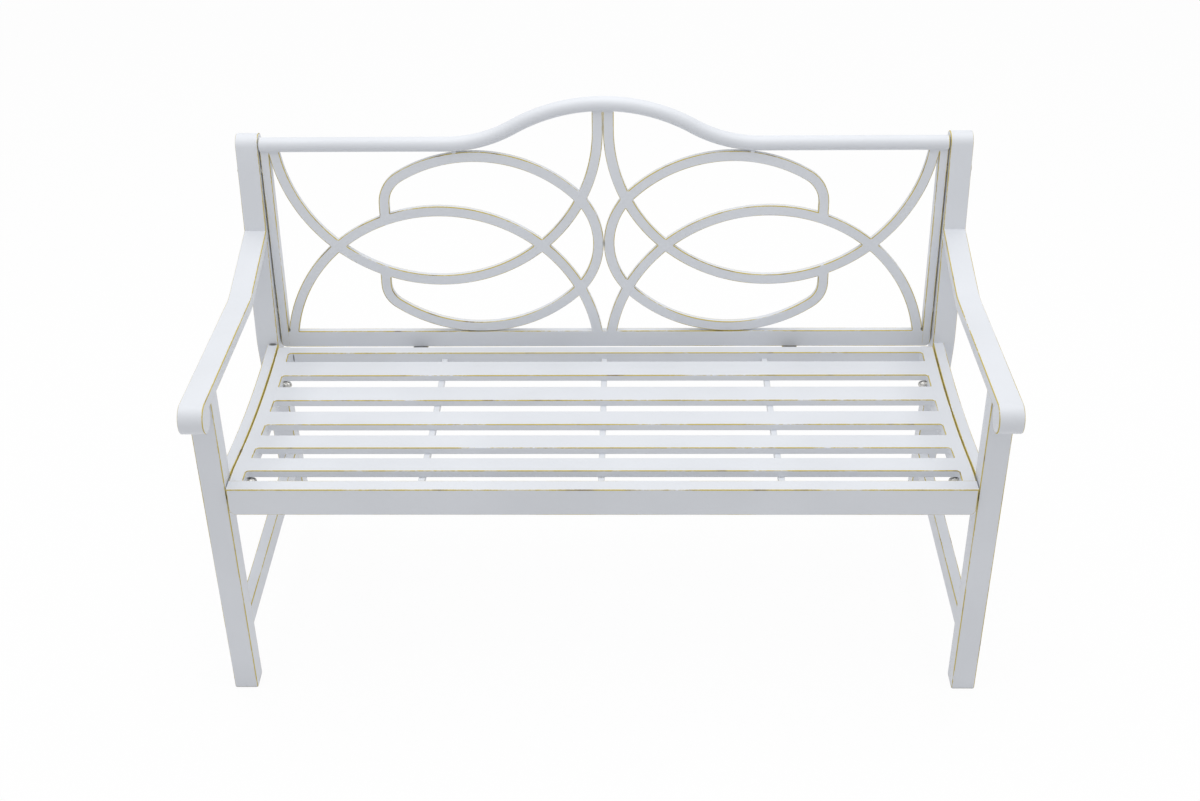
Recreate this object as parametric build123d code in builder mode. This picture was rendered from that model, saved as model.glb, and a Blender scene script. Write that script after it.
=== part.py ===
from build123d import *
from math import asin, atan, atan2, cos, degrees, radians, sin, sqrt, tan
import os

# Garden bench: two welded end frames, a slatted seat panel and a scrolled back panel, bolted together.
# Millimetres. X runs along the bench, +Y to the rear, +Z up, origin on the floor below the middle.

# Whole bench
bench_width = 1240.0            # over the outer faces of the legs
bench_depth = 604.0             # from the armrest nose to the heel of the rear foot
panel_gap = 2.0                 # spacer thickness between each end frame and the seat and back panels
tube_wall = 1.2

# End frames
leg_size = 38.0                 # square tube of the front legs and rear posts
rail_thickness = 19.0           # flat tube of armrests, end rails and stretchers
rail_height = 38.0              # its wide side, equal to the leg so that faces run flush
nose_reach = 58.0               # armrest nose ahead of the front leg
nose_radius = 24.0
arm_nose_height = 593.0         # armrest top at the nose
arm_low_height = 572.5          # armrest top at its bend
arm_rear_height = 617.0         # armrest top at the rear post
arm_bend_setback = 316.0        # bend behind the front of the front leg
arm_bend_radius = 100.0
post_cap_rise = 15.0            # post top above the axis of the back's top rail
post_bend_height = 400.0
post_bend_radius = 120.0
post_lean = 6.5                 # degrees, upper half, backwards
leg_splay = 7.4                 # degrees, lower half, heel backwards
stretcher_top_height = 148.0
foot_flange = 2.0               # plastic foot under the tube ends
foot_plug_depth = 12.0
foot_plug_clearance = 0.2

# Seat panel
seat_front_reach = 6.0          # seat front ahead of the front legs
seat_rear_reach = 30.0          # seat rear ahead of the bend in the rear posts
seat_crest_height = 416.5       # top of the front rail
seat_dish_depth = 22.0          # lowest line of the seat below that
seat_low_setback = 318.0        # that line behind the seat front
seat_front_radius = 365.0       # round of the seat behind its front rail
front_rail_depth = 25.0
front_rail_height = 48.5
front_rail_corner = 10.0
seat_side_width = 22.0
seat_side_height = 32.0
rear_rail_depth = 20.0
rear_rail_height = 32.0
slat_count = 5
slat_width = 43.0
slat_thickness = 12.0
slat_front_gap = 26.5           # front slat to the front rail
slat_rear_gap = 24.5            # rear slat to the rear rail
support_bar_size = 10.0
support_bar_spacing = 282.0
end_rail_drop = 2.0             # end rail top below the seat surface
vent_diameter = 6.0

# Back panel
back_rise = 15.3                # panel's lower edge above the lower edge of the seat's rear rail
back_recess = 18.0              # panel's lower edge behind the front of the posts at their bend
back_lean = 4.0                 # degrees, less than the posts
bottom_rail_height = 31.0
bottom_rail_depth = 12.0
stile_width = 15.0
stile_depth = 20.0
stile_corner = 9.0
top_rail_diameter = 25.0
top_rail_rise = 381.5           # top rail axis above the panel's lower edge, at its straight ends
crown_rise = 70.0
crown_half_span = 265.0
crown_radius = 307.0
bar_width = 18.0
bar_depth = 10.0
bar_centre_gap = 0.6            # between the left and right scrolls
stile_bite = 3.0                # depth to which a scroll's edge is let into the stile
arch_reach = 61.0               # crown of the arch above the middle of the opening
hammock_reach = 68.5            # foot of the hammock below the middle of the opening
oval_apex = 220.0               # highest point of the oval from the middle of the bench
oval_nose_ease = 34.5           # nose radius below half the oval's height
oval_upper_radius = 58.0        # corner between the long arc and the upper straight leg
oval_lower_radius = 45.0        # the same at the lower leg
oval_upper_reach = 156.5        # the oval's upper straight leg from its highest point
oval_lower_reach = 163.0        # its lower straight leg from the same point
lug_width = 8.0
lug_offset = 32.0               # weld lug on each oval from its highest point

# Fasteners
bolt_diameter = 8.0
bolt_clearance = 0.4
bolt_head_diameter = 15.0
bolt_head_height = 3.0
washer_diameter = 16.0
washer_thickness = 1.6
nut_across_flats = 13.0
nut_height = 6.5
nut_dome_radius = 6.0
seat_bolt_front_setback = 10.0  # front bolt behind the front leg
seat_bolt_rear_setback = 85.0   # rear bolt ahead of the seat's rear
seat_bolt_clearance = 1.0       # washers below the slats
back_bolt_low = 70.0            # lower bolt above the back panel's lower edge
back_bolt_drop = 47.0           # upper bolt below the axis of the top rail
insert_diameter = 11.0
insert_backing = 3.0            # stile left behind a threaded insert
bracket_spacing = 330.0         # each bracket from the middle of the bench
bracket_width = 26.0
bracket_thickness = 3.0
screw_diameter = 6.0
screw_head_diameter = 10.5
screw_head_height = 3.3
screw_length = 12.0

# Places that follow from the sizes above
outer_x = bench_width / 2
inner_x = outer_x - leg_size
rail_outer_x = inner_x + rail_thickness
panel_x = inner_x - panel_gap
leg_front = -bench_depth / 2 + nose_reach
leg_back = leg_front + leg_size
lean = radians(post_lean)
splay = radians(leg_splay)
tilt = radians(back_lean)
foot_y = bench_depth / 2 - leg_size / 2 / cos(splay)
bend_y = foot_y - post_bend_height * tan(splay)
arm_bend = (leg_front + arm_bend_setback, arm_low_height - rail_thickness / 2)
nose_y = leg_front - nose_reach + nose_radius
arm_slope = atan((arm_nose_height - arm_low_height) / (arm_bend[0] - nose_y))

seat_front = leg_front - seat_front_reach
seat_rear = bend_y - seat_rear_reach
seat_low_height = seat_crest_height - seat_dish_depth
crest_y = seat_front + front_rail_depth
low_y = seat_front + seat_low_setback
dish_run = low_y - crest_y
seat_dish_radius = (dish_run**2 + seat_dish_depth**2) / (2 * seat_dish_depth) - seat_front_radius
seat_turn = 2 * atan(seat_dish_depth / dish_run)
front_arc_centre = (crest_y, seat_crest_height - seat_front_radius)
dish_arc_centre = (low_y, seat_low_height + seat_dish_radius)
slat_half = panel_x - seat_side_width
first_slat_y = crest_y + slat_front_gap + slat_width / 2
last_slat_y = seat_rear - rear_rail_depth - slat_rear_gap - slat_width / 2
slat_pitch = (last_slat_y - first_slat_y) / (slat_count - 1)
slat_centres = [first_slat_y + slat_pitch * i for i in range(slat_count)]
rear_rail_y = seat_rear - rear_rail_depth / 2

stile_inner = panel_x - stile_width
top_rail_radius = top_rail_diameter / 2
opening_low = bottom_rail_height
opening_high = top_rail_rise - top_rail_radius
opening_mid = (opening_low + opening_high) / 2
bar_middle = bar_centre_gap / 2 + bar_width / 2
scroll_radius = (stile_inner + stile_bite - bar_width / 2 - bar_middle) / 2
scroll_centre = bar_middle + scroll_radius
crown_turn = 2 * atan(crown_rise / crown_half_span)
shoulder_radius = crown_half_span / sin(crown_turn) - crown_radius


def seat_surface(y):
    """Height and slope (dz/dy) of the seat's top line at a place along Y."""
    if y < crest_y + seat_front_radius * sin(seat_turn):
        run = y - front_arc_centre[0]
        reach = sqrt(seat_front_radius**2 - run**2)
        return front_arc_centre[1] + reach, -run / reach
    run = y - dish_arc_centre[0]
    reach = sqrt(seat_dish_radius**2 - run**2)
    return dish_arc_centre[1] - reach, run / reach


# The back panel hangs between the posts, its lower edge held by the seat's rear rail
rear_rail_low = seat_surface(rear_rail_y)[0] - rear_rail_height
back_bottom_height = rear_rail_low + back_rise
post_top_height = back_bottom_height + top_rail_rise * cos(tilt) + post_cap_rise
post_end_height = post_top_height - leg_size / 2
post_end_y = bend_y + (post_end_height - post_bend_height) * tan(lean)
back_plane = Plane(
    origin=(0, bend_y - leg_size / 2 + back_recess, back_bottom_height),
    x_dir=(1, 0, 0),
    z_dir=(0, -cos(tilt), sin(tilt)),
)


def seat_band(drop, height, rear, x_start, width):
    """A bar that follows the seat's top line, `drop` below it, from the front rail back to `rear`."""
    turn = degrees(seat_turn)
    end = degrees(asin((rear - low_y) / seat_dish_radius))
    base = drop + height
    with BuildPart() as band:
        with BuildSketch(Plane.YZ.offset(x_start)):
            with BuildLine():
                upper = CenterArc(front_arc_centre, seat_front_radius - drop, 90, -turn)
                upper_dish = CenterArc(dish_arc_centre, seat_dish_radius + drop, 270 - turn, turn + end)
                lower = CenterArc(front_arc_centre, seat_front_radius - base, 90, -turn)
                lower_dish = CenterArc(dish_arc_centre, seat_dish_radius + base, 270 - turn, turn + end)
                Line(upper @ 0, lower @ 0)
                Line(upper_dish @ 1, lower_dish @ 1)
            make_face()
        extrude(amount=width)
    return band.part


def post_body(inset, x_start, width):
    """The bent rear post with its round top, shrunk by `inset` on every long face."""
    with BuildPart() as body:
        with BuildSketch(Plane.YZ.offset(x_start)):
            with BuildLine() as path:
                FilletPolyline(
                    (foot_y + leg_size * tan(splay), -leg_size),
                    (bend_y, post_bend_height),
                    (post_end_y, post_end_height),
                    radius=post_bend_radius,
                )
            trace(path.line, line_width=leg_size - 2 * inset)
            with Locations((post_end_y, post_end_height)):
                Circle(leg_size / 2 - inset)
        extrude(amount=width)
        split(bisect_by=Plane.XY.offset(foot_flange), keep=Keep.TOP)
    return body.part


def arm_body(inset, x_start, width):
    """The bent armrest with its rolled nose, shrunk by `inset` on every long face."""
    drop = nose_radius - rail_thickness / 2
    tip_y = nose_y + drop * sin(arm_slope)
    tip_z = arm_bend[1] + (arm_bend[0] - tip_y) * tan(arm_slope)
    rear_z = arm_rear_height - rail_thickness / 2
    rear_y = bend_y + (rear_z - post_bend_height) * tan(lean)
    with BuildPart() as body:
        with BuildSketch(Plane.YZ.offset(x_start)):
            with BuildLine() as path:
                FilletPolyline((rear_y, rear_z), arm_bend, (tip_y, tip_z), radius=arm_bend_radius)
            trace(path.line, line_width=rail_thickness - 2 * inset)
            with Locations((nose_y, tip_z - drop * cos(arm_slope))):
                Circle(nose_radius - inset)
        extrude(amount=width)
    return body.part


def crown_arcs():
    """The raised middle of the top rail's line: two hollow shoulders and the crown between them."""
    turn = degrees(crown_turn)
    shoulder_height = top_rail_rise + shoulder_radius
    CenterArc((-crown_half_span, shoulder_height), shoulder_radius, -90, turn)
    CenterArc((0, top_rail_rise + crown_rise - crown_radius), crown_radius, 90 + turn, -2 * turn)
    CenterArc((crown_half_span, shoulder_height), shoulder_radius, -90 - turn, turn)


def rail_along(radius):
    """A round bar along the top rail's line, straight ends and a raised crown."""
    with BuildPart() as bar:
        with BuildLine(back_plane.offset(-bar_depth / 2)) as path:
            Line((-panel_x, top_rail_rise), (-crown_half_span, top_rail_rise))
            crown_arcs()
            Line((crown_half_span, top_rail_rise), (panel_x, top_rail_rise))
        with BuildSketch(Plane(origin=path.line @ 0, z_dir=path.line % 0)):
            Circle(radius)
        sweep(path=path.line)
    return bar.part


def opening_body():
    """The space framed by the bottom rail, the stiles and the top rail's middle line."""
    with BuildPart() as space:
        with BuildSketch(back_plane):
            with BuildLine():
                Polyline(
                    (-crown_half_span, top_rail_rise),
                    (-stile_inner, top_rail_rise),
                    (-stile_inner, opening_low),
                    (stile_inner, opening_low),
                    (stile_inner, top_rail_rise),
                    (crown_half_span, top_rail_rise),
                )
                crown_arcs()
            make_face()
        extrude(amount=-bar_depth)
    return space.part


def scroll_body(direction, reach):
    """A half-round bar with straight legs: direction +1 opens upwards (hammock), -1 downwards (arch)."""
    centre = opening_mid + direction * (scroll_radius - reach)
    leg_middle = centre + direction * scroll_radius / 2
    with BuildPart() as bar:
        with BuildSketch(back_plane):
            with Locations((scroll_centre, centre)):
                Circle(scroll_radius + bar_width / 2)
                Circle(scroll_radius - bar_width / 2, mode=Mode.SUBTRACT)
            with Locations((scroll_centre, leg_middle)):
                Rectangle(4 * scroll_radius, scroll_radius, mode=Mode.SUBTRACT)
            with Locations((bar_middle, leg_middle), (scroll_centre + scroll_radius, leg_middle)):
                Rectangle(bar_width, scroll_radius)
            with Locations((scroll_centre, centre + direction * 2 * scroll_radius)):
                Rectangle(4 * scroll_radius, 2 * scroll_radius, mode=Mode.SUBTRACT)
        extrude(amount=-bar_depth)
        add(opening_body(), mode=Mode.INTERSECT)
    return bar.part


def oval_body():
    """The C-shaped oval of the right half: nose, long arcs, tight corners and two straight legs."""
    half_height = opening_high - opening_mid - bar_width / 2
    nose = half_height - oval_nose_ease
    reach = oval_apex - bar_middle
    long_radius = (reach**2 + half_height**2 - 2 * reach * nose) / (2 * oval_nose_ease)
    long_drop = long_radius - half_height
    nose_turn = degrees(atan2(long_drop, bar_middle + nose - oval_apex))
    upper_centre = (oval_apex, opening_mid - long_drop)
    lower_centre = (oval_apex, opening_mid + long_drop)

    def corner(leg_reach, radius):
        """A tight corner off the middle: its centre and the turn at which the long arc meets it."""
        run = leg_reach - radius
        rise = sqrt((long_radius - radius) ** 2 - run**2)
        return oval_apex + run, rise - long_drop, degrees(atan2(rise, run))

    def scroll_sag(leg):
        """Drop of an arch or hammock from its middle to the place where a leg meets it."""
        return scroll_radius - sqrt(scroll_radius**2 - (leg - scroll_centre) ** 2)

    upper_leg, lower_leg = oval_apex + oval_upper_reach, oval_apex + oval_lower_reach
    upper_u, upper_w, upper_turn = corner(oval_upper_reach, oval_upper_radius)
    lower_u, lower_w, lower_turn = corner(oval_lower_reach, oval_lower_radius)
    upper_end = opening_mid + arch_reach - scroll_sag(upper_leg)
    lower_end = opening_mid - hammock_reach + scroll_sag(lower_leg)
    with BuildPart() as bar:
        with BuildSketch(back_plane):
            with BuildLine() as path:
                Line((upper_leg, upper_end), (upper_leg, opening_mid + upper_w))
                CenterArc((upper_u, opening_mid + upper_w), oval_upper_radius, 0, upper_turn)
                CenterArc(upper_centre, long_radius, upper_turn, nose_turn - upper_turn)
                CenterArc((bar_middle + nose, opening_mid), nose, nose_turn, 360 - 2 * nose_turn)
                CenterArc(lower_centre, long_radius, -nose_turn, nose_turn - lower_turn)
                CenterArc((lower_u, opening_mid - lower_w), oval_lower_radius, -lower_turn, lower_turn)
                Line((lower_leg, opening_mid - lower_w), (lower_leg, lower_end))
            trace(path.line, line_width=bar_width)
        extrude(amount=-bar_depth)
    return bar.part


def box_tube(plane, width, height, length, align=(Align.CENTER, Align.CENTER)):
    """A rectangular tube on a plane's local axes, `length` along its normal."""
    with BuildPart() as tube:
        with BuildSketch(plane):
            outline = Rectangle(width, height, align=align)
            offset(outline, -tube_wall, mode=Mode.SUBTRACT)
        extrude(amount=length)
    return tube.part


def solid_bar(plane, width, height, length, align=(Align.CENTER, Align.CENTER)):
    """A plain rectangular bar on a plane's local axes, `length` along its normal."""
    with BuildPart() as bar:
        with BuildSketch(plane):
            Rectangle(width, height, align=align)
        extrude(amount=length)
    return bar.part


def rod(diameter, places, x_start, length, bore=0.0):
    """Round rods along X at (y, z) places, with an optional bore."""
    with BuildPart() as rods:
        with BuildSketch(Plane.YZ.offset(x_start)):
            with Locations(*places):
                Circle(diameter / 2)
                if bore:
                    Circle(bore / 2, mode=Mode.SUBTRACT)
        extrude(amount=length)
    return rods.part


def both_sides(right):
    """A right-hand group together with its mirror image on the left."""
    with BuildPart() as pair:
        add(right)
        mirror(right, about=Plane.YZ)
    return pair


def left_of(right):
    """The left-hand piece that mirrors a right-hand one."""
    with BuildPart() as piece:
        mirror(right.part, about=Plane.YZ)
    return piece


# Bolt places as (y, z)
hole = bolt_diameter + bolt_clearance
seat_bolt_drop = slat_thickness + washer_diameter / 2 + seat_bolt_clearance
seat_bolt_places = []
for bolt_y in (leg_back + seat_bolt_front_setback, seat_rear - seat_bolt_rear_setback):
    seat_bolt_places.append((bolt_y, seat_surface(bolt_y)[0] - seat_bolt_drop))
back_bolt_places = []
for rise in (back_bolt_low, top_rail_rise - back_bolt_drop):
    bolt_point = back_plane.from_local_coords(Vector(0, rise, -stile_depth / 2))
    back_bolt_places.append((bolt_point.Y, bolt_point.Z))

# Whole bodies that other pieces are cut against
post_whole = post_body(0, inner_x, leg_size)
arm_whole = arm_body(0, inner_x, leg_size)
leg_plane = Plane((inner_x + leg_size / 2, leg_front + leg_size / 2, foot_flange))
leg_whole = solid_bar(leg_plane, leg_size, leg_size, arm_nose_height)
top_rail_whole = rail_along(top_rail_radius)

pieces = {}

# Right end frame
with BuildPart() as rear_post:
    add(post_whole)
    add(post_body(tube_wall, inner_x + tube_wall, leg_size - 2 * tube_wall), mode=Mode.SUBTRACT)
    add(rod(hole, back_bolt_places, inner_x, leg_size), mode=Mode.SUBTRACT)

with BuildPart() as armrest:
    add(arm_whole)
    add(arm_body(tube_wall, inner_x + tube_wall, leg_size - 2 * tube_wall), mode=Mode.SUBTRACT)
    add(post_whole, mode=Mode.SUBTRACT)

with BuildPart() as front_leg:
    add(box_tube(leg_plane, leg_size, leg_size, max(arm_nose_height, arm_low_height)))
    split(bisect_by=Plane((0, *arm_bend), z_dir=(0, sin(arm_slope), cos(arm_slope))), keep=Keep.BOTTOM)
    add(arm_whole, mode=Mode.SUBTRACT)

with BuildPart() as end_rail:
    add(seat_band(end_rail_drop, rail_height, bend_y, inner_x, rail_thickness))
    add(
        seat_band(
            end_rail_drop + tube_wall,
            rail_height - 2 * tube_wall,
            bend_y,
            inner_x + tube_wall,
            rail_thickness - 2 * tube_wall,
        ),
        mode=Mode.SUBTRACT,
    )
    add(leg_whole, mode=Mode.SUBTRACT)
    add(post_whole, mode=Mode.SUBTRACT)
    add(rod(hole, seat_bolt_places, inner_x, rail_thickness), mode=Mode.SUBTRACT)

stretcher_plane = Plane(
    origin=(inner_x, leg_back, stretcher_top_height),
    x_dir=(1, 0, 0),
    z_dir=(0, 1, 0),
)
with BuildPart() as stretcher:
    add(
        box_tube(
            stretcher_plane,
            rail_thickness,
            rail_height,
            foot_y - stretcher_top_height * tan(splay) - leg_back,
            align=(Align.MIN, Align.MIN),
        )
    )
    add(post_whole, mode=Mode.SUBTRACT)

for name, piece in (
    ("front_leg", front_leg),
    ("rear_post", rear_post),
    ("armrest", armrest),
    ("end_rail", end_rail),
    ("stretcher", stretcher),
):
    pieces[name + "_right"] = piece
    pieces[name + "_left"] = left_of(piece)

plug_size = leg_size - 2 * tube_wall - 2 * foot_plug_clearance
rear_foot_y = foot_y - foot_flange * tan(splay)
with BuildPart() as foot_plugs_right:
    for y, angle in ((leg_front + leg_size / 2, 0.0), (rear_foot_y, splay)):
        stretch = 1 / cos(angle)
        with BuildSketch(Plane((inner_x + leg_size / 2, y, 0))):
            Rectangle(leg_size, leg_size * stretch)
        extrude(amount=foot_flange)
        with BuildSketch(Plane((inner_x + leg_size / 2, y, foot_flange))):
            Rectangle(plug_size, plug_size * stretch)
        extrude(amount=foot_plug_depth, dir=(0, -tan(angle), 1))
pieces["foot_plugs"] = both_sides(foot_plugs_right.part)

# Seat panel
with BuildPart() as seat_front_rail:
    with BuildSketch(Plane.XZ.offset(-crest_y)) as front_face:
        with Locations((0, seat_crest_height)):
            front_outline = Rectangle(2 * panel_x, front_rail_height, align=(Align.CENTER, Align.MAX))
        fillet(front_outline.vertices().group_by(Axis.Z)[0], radius=front_rail_corner)
    extrude(amount=front_rail_depth)
    with BuildSketch(Plane.XZ.offset(tube_wall - crest_y)):
        offset(front_face.sketch_local, -tube_wall)
    extrude(amount=front_rail_depth - 2 * tube_wall, mode=Mode.SUBTRACT)
    with BuildSketch(Plane.XY.offset(seat_crest_height - front_rail_height)):
        with Locations((0, crest_y - front_rail_depth / 2)):
            with GridLocations(panel_x, 0, 2, 1):
                Circle(vent_diameter / 2)
    extrude(amount=2 * tube_wall, mode=Mode.SUBTRACT)
pieces["seat_front_rail"] = seat_front_rail

with BuildPart() as seat_side_rail:
    add(seat_band(0, seat_side_height, seat_rear, slat_half, seat_side_width))
    add(
        seat_band(
            tube_wall,
            seat_side_height - 2 * tube_wall,
            seat_rear,
            slat_half + tube_wall,
            seat_side_width - 2 * tube_wall,
        ),
        mode=Mode.SUBTRACT,
    )
    add(rod(hole, seat_bolt_places, slat_half, seat_side_width), mode=Mode.SUBTRACT)
pieces["seat_side_rail_right"] = seat_side_rail
pieces["seat_side_rail_left"] = left_of(seat_side_rail)

rear_rail_plane = Plane(
    origin=(-slat_half, rear_rail_y, seat_surface(rear_rail_y)[0]),
    x_dir=(0, 1, 0),
    z_dir=(1, 0, 0),
)
top_align = (Align.CENTER, Align.MAX)
screw_z = (back_bottom_height - bracket_thickness + rear_rail_low) / 2
with BuildPart() as seat_rear_rail:
    add(box_tube(rear_rail_plane, rear_rail_depth, rear_rail_height, 2 * slat_half, top_align))
    with BuildSketch(Plane.XZ.offset(-seat_rear)):
        with Locations((-bracket_spacing, screw_z), (bracket_spacing, screw_z)):
            Circle(screw_diameter / 2)
    extrude(amount=2 * tube_wall, mode=Mode.SUBTRACT)
pieces["seat_rear_rail"] = seat_rear_rail

slats_whole = []
for number, slat_y in enumerate(slat_centres, start=1):
    slat_z, slat_slope = seat_surface(slat_y)
    slat_plane = Plane(origin=(-slat_half, slat_y, slat_z), x_dir=(0, 1, slat_slope), z_dir=(1, 0, 0))
    slats_whole.append(solid_bar(slat_plane, slat_width, slat_thickness, 2 * slat_half, top_align))
    with BuildPart() as slat:
        add(box_tube(slat_plane, slat_width, slat_thickness, 2 * slat_half, top_align))
    pieces[f"slat_{number}"] = slat

rear_rail_whole = solid_bar(rear_rail_plane, rear_rail_depth, rear_rail_height, 2 * slat_half, top_align)
for side, bar_x in (("left", -support_bar_spacing), ("middle", 0.0), ("right", support_bar_spacing)):
    with BuildPart() as support_bar:
        bar_start = bar_x - support_bar_size / 2
        add(seat_band(slat_thickness, support_bar_size, rear_rail_y, bar_start, support_bar_size))
        for whole in (*slats_whole, rear_rail_whole):
            add(whole, mode=Mode.SUBTRACT)
    pieces[f"support_bar_{side}"] = support_bar

# Back panel
with BuildPart() as back_top_rail:
    add(top_rail_whole)
    add(rail_along(top_rail_radius - tube_wall), mode=Mode.SUBTRACT)
pieces["back_top_rail"] = back_top_rail

with BuildPart() as back_bottom_rail:
    bottom_middle = back_plane.from_local_coords(
        Vector(-stile_inner, bottom_rail_height / 2, -bottom_rail_depth / 2)
    )
    bottom_plane = Plane(origin=bottom_middle, x_dir=back_plane.y_dir, z_dir=(1, 0, 0))
    add(box_tube(bottom_plane, bottom_rail_height, bottom_rail_depth, 2 * stile_inner))
pieces["back_bottom_rail"] = back_bottom_rail

stile_top = top_rail_rise - top_rail_radius / 2
with BuildPart() as back_stile:
    with BuildSketch(back_plane) as stile_face:
        with Locations((stile_inner, 0)):
            Rectangle(stile_width, stile_top, align=(Align.MIN, Align.MIN))
        fillet(stile_face.vertices().group_by(Axis.Y)[0].sort_by(Axis.X)[-1], radius=stile_corner)
    extrude(amount=-stile_depth)
    with BuildSketch(back_plane.offset(-tube_wall)):
        offset(stile_face.sketch_local, -tube_wall)
    extrude(amount=2 * tube_wall - stile_depth, mode=Mode.SUBTRACT)
    add(top_rail_whole, mode=Mode.SUBTRACT)
    add(
        rod(insert_diameter, back_bolt_places, stile_inner + tube_wall, stile_width),
        mode=Mode.SUBTRACT,
    )
pieces["back_stile_right"] = back_stile
pieces["back_stile_left"] = left_of(back_stile)

arch_whole = scroll_body(-1, arch_reach)
with BuildPart() as arch_bar:
    add(arch_whole)

hammock_whole = scroll_body(1, hammock_reach)
with BuildPart() as hammock_bar:
    add(hammock_whole)
    add(arch_whole, mode=Mode.SUBTRACT)
    add(top_rail_whole, mode=Mode.SUBTRACT)

with BuildPart() as oval_bar:
    add(oval_body())
    add(arch_whole, mode=Mode.SUBTRACT)
    add(hammock_whole, mode=Mode.SUBTRACT)
    add(top_rail_whole, mode=Mode.SUBTRACT)

for name, piece in (("arch_bar", arch_bar), ("hammock_bar", hammock_bar), ("oval_bar", oval_bar)):
    pieces[name + "_right"] = piece
    pieces[name + "_left"] = left_of(piece)

with BuildPart() as lug_right:
    with BuildSketch(back_plane):
        with Locations((oval_apex + lug_offset, opening_high)):
            Rectangle(lug_width, bar_width)
    extrude(amount=-bar_depth)
    add(oval_body(), mode=Mode.SUBTRACT)
    add(top_rail_whole, mode=Mode.SUBTRACT)
pieces["back_lugs"] = both_sides(lug_right.part)

# Fasteners of the seat: bolt, spacer, washer and cap nut along X
seat_bolt_end = slat_half - washer_thickness - nut_height
with BuildPart() as seat_bolt:
    add(rod(bolt_diameter, seat_bolt_places, seat_bolt_end, rail_outer_x - seat_bolt_end))
    add(rod(bolt_head_diameter, seat_bolt_places, rail_outer_x, bolt_head_height))
pieces["seat_bolts"] = both_sides(seat_bolt.part)
pieces["seat_spacers"] = both_sides(rod(washer_diameter, seat_bolt_places, panel_x, panel_gap, hole))
pieces["seat_washers"] = both_sides(
    rod(washer_diameter, seat_bolt_places, slat_half - washer_thickness, washer_thickness, hole)
)

with BuildPart() as seat_cap_nut:
    for place in seat_bolt_places:
        with BuildSketch(Plane.YZ.offset(slat_half - washer_thickness - nut_height)):
            with Locations(place):
                RegularPolygon(nut_across_flats / 2, 6, major_radius=False)
        extrude(amount=nut_height)
        with Locations((slat_half - washer_thickness - nut_height, *place)):
            Sphere(nut_dome_radius)
    add(rod(bolt_diameter, seat_bolt_places, seat_bolt_end, nut_height), mode=Mode.SUBTRACT)
pieces["seat_cap_nuts"] = both_sides(seat_cap_nut.part)

# Fasteners of the back: bolt through the post, spacer, threaded insert in the stile
insert_length = stile_width - insert_backing
back_bolt_end = panel_x - insert_length
with BuildPart() as back_bolt:
    add(rod(bolt_diameter, back_bolt_places, back_bolt_end, outer_x - back_bolt_end))
    add(rod(bolt_head_diameter, back_bolt_places, outer_x, bolt_head_height))
pieces["back_bolts"] = both_sides(back_bolt.part)
pieces["back_spacers"] = both_sides(rod(washer_diameter, back_bolt_places, panel_x, panel_gap, hole))
pieces["back_inserts"] = both_sides(
    rod(insert_diameter, back_bolt_places, back_bolt_end, insert_length, bolt_diameter)
)

# Angle brackets from the back's bottom rail to the seat's rear rail, each with one screw
bottom_edge = back_plane.from_local_coords(Vector(0, 0, -bottom_rail_depth))
bracket_x = bracket_spacing - bracket_width / 2
with BuildPart() as bracket:
    with BuildSketch(Plane.YZ.offset(bracket_x)):
        with BuildLine():
            Polyline(
                (seat_rear, back_bottom_height),
                (back_plane.origin.Y, back_bottom_height),
                (bottom_edge.Y, bottom_edge.Z),
                (bottom_edge.Y, back_bottom_height - bracket_thickness),
                (seat_rear + bracket_thickness, back_bottom_height - bracket_thickness),
                (seat_rear + bracket_thickness, rear_rail_low),
                (seat_rear, rear_rail_low),
                close=True,
            )
        make_face()
    extrude(amount=bracket_width)
    with BuildSketch(Plane.XZ.offset(-seat_rear)):
        with Locations((bracket_spacing, screw_z)):
            Circle((screw_diameter + bolt_clearance) / 2)
    extrude(amount=-bracket_thickness, mode=Mode.SUBTRACT)
pieces["back_brackets"] = both_sides(bracket.part)

with BuildPart() as screw:
    with BuildSketch(Plane.XZ.offset(-seat_rear - bracket_thickness)):
        with Locations((bracket_spacing, screw_z)):
            Circle(screw_head_diameter / 2)
    extrude(amount=-screw_head_height)
    with BuildSketch(Plane.XZ.offset(-seat_rear - bracket_thickness)):
        with Locations((bracket_spacing, screw_z)):
            Circle(screw_diameter / 2)
    extrude(amount=screw_length)
pieces["bracket_screws"] = both_sides(screw.part)

os.makedirs("parts", exist_ok=True)
for name, piece in pieces.items():
    piece.part.label = name
    export_step(piece.part, f"parts/{name}.step")
print(f"{len(pieces)} pieces written")
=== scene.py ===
import bpy
import numpy as np
from math import asin, atan, atan2, cos, pi, radians, sin, sqrt, tan
from mathutils import Matrix


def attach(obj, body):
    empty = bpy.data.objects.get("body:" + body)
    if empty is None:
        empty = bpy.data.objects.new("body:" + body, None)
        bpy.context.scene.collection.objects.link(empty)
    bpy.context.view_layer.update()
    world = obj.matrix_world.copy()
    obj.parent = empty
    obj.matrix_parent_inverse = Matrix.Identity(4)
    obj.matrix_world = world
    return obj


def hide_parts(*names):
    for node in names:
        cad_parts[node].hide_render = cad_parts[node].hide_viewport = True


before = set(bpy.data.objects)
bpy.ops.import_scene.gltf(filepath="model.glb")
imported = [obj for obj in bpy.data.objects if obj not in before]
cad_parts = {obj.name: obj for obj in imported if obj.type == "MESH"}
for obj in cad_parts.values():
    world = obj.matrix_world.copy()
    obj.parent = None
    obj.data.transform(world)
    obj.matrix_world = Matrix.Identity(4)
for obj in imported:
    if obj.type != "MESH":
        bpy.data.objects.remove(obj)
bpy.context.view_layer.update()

print("frame: loaded with", len(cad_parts), "nodes")

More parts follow.
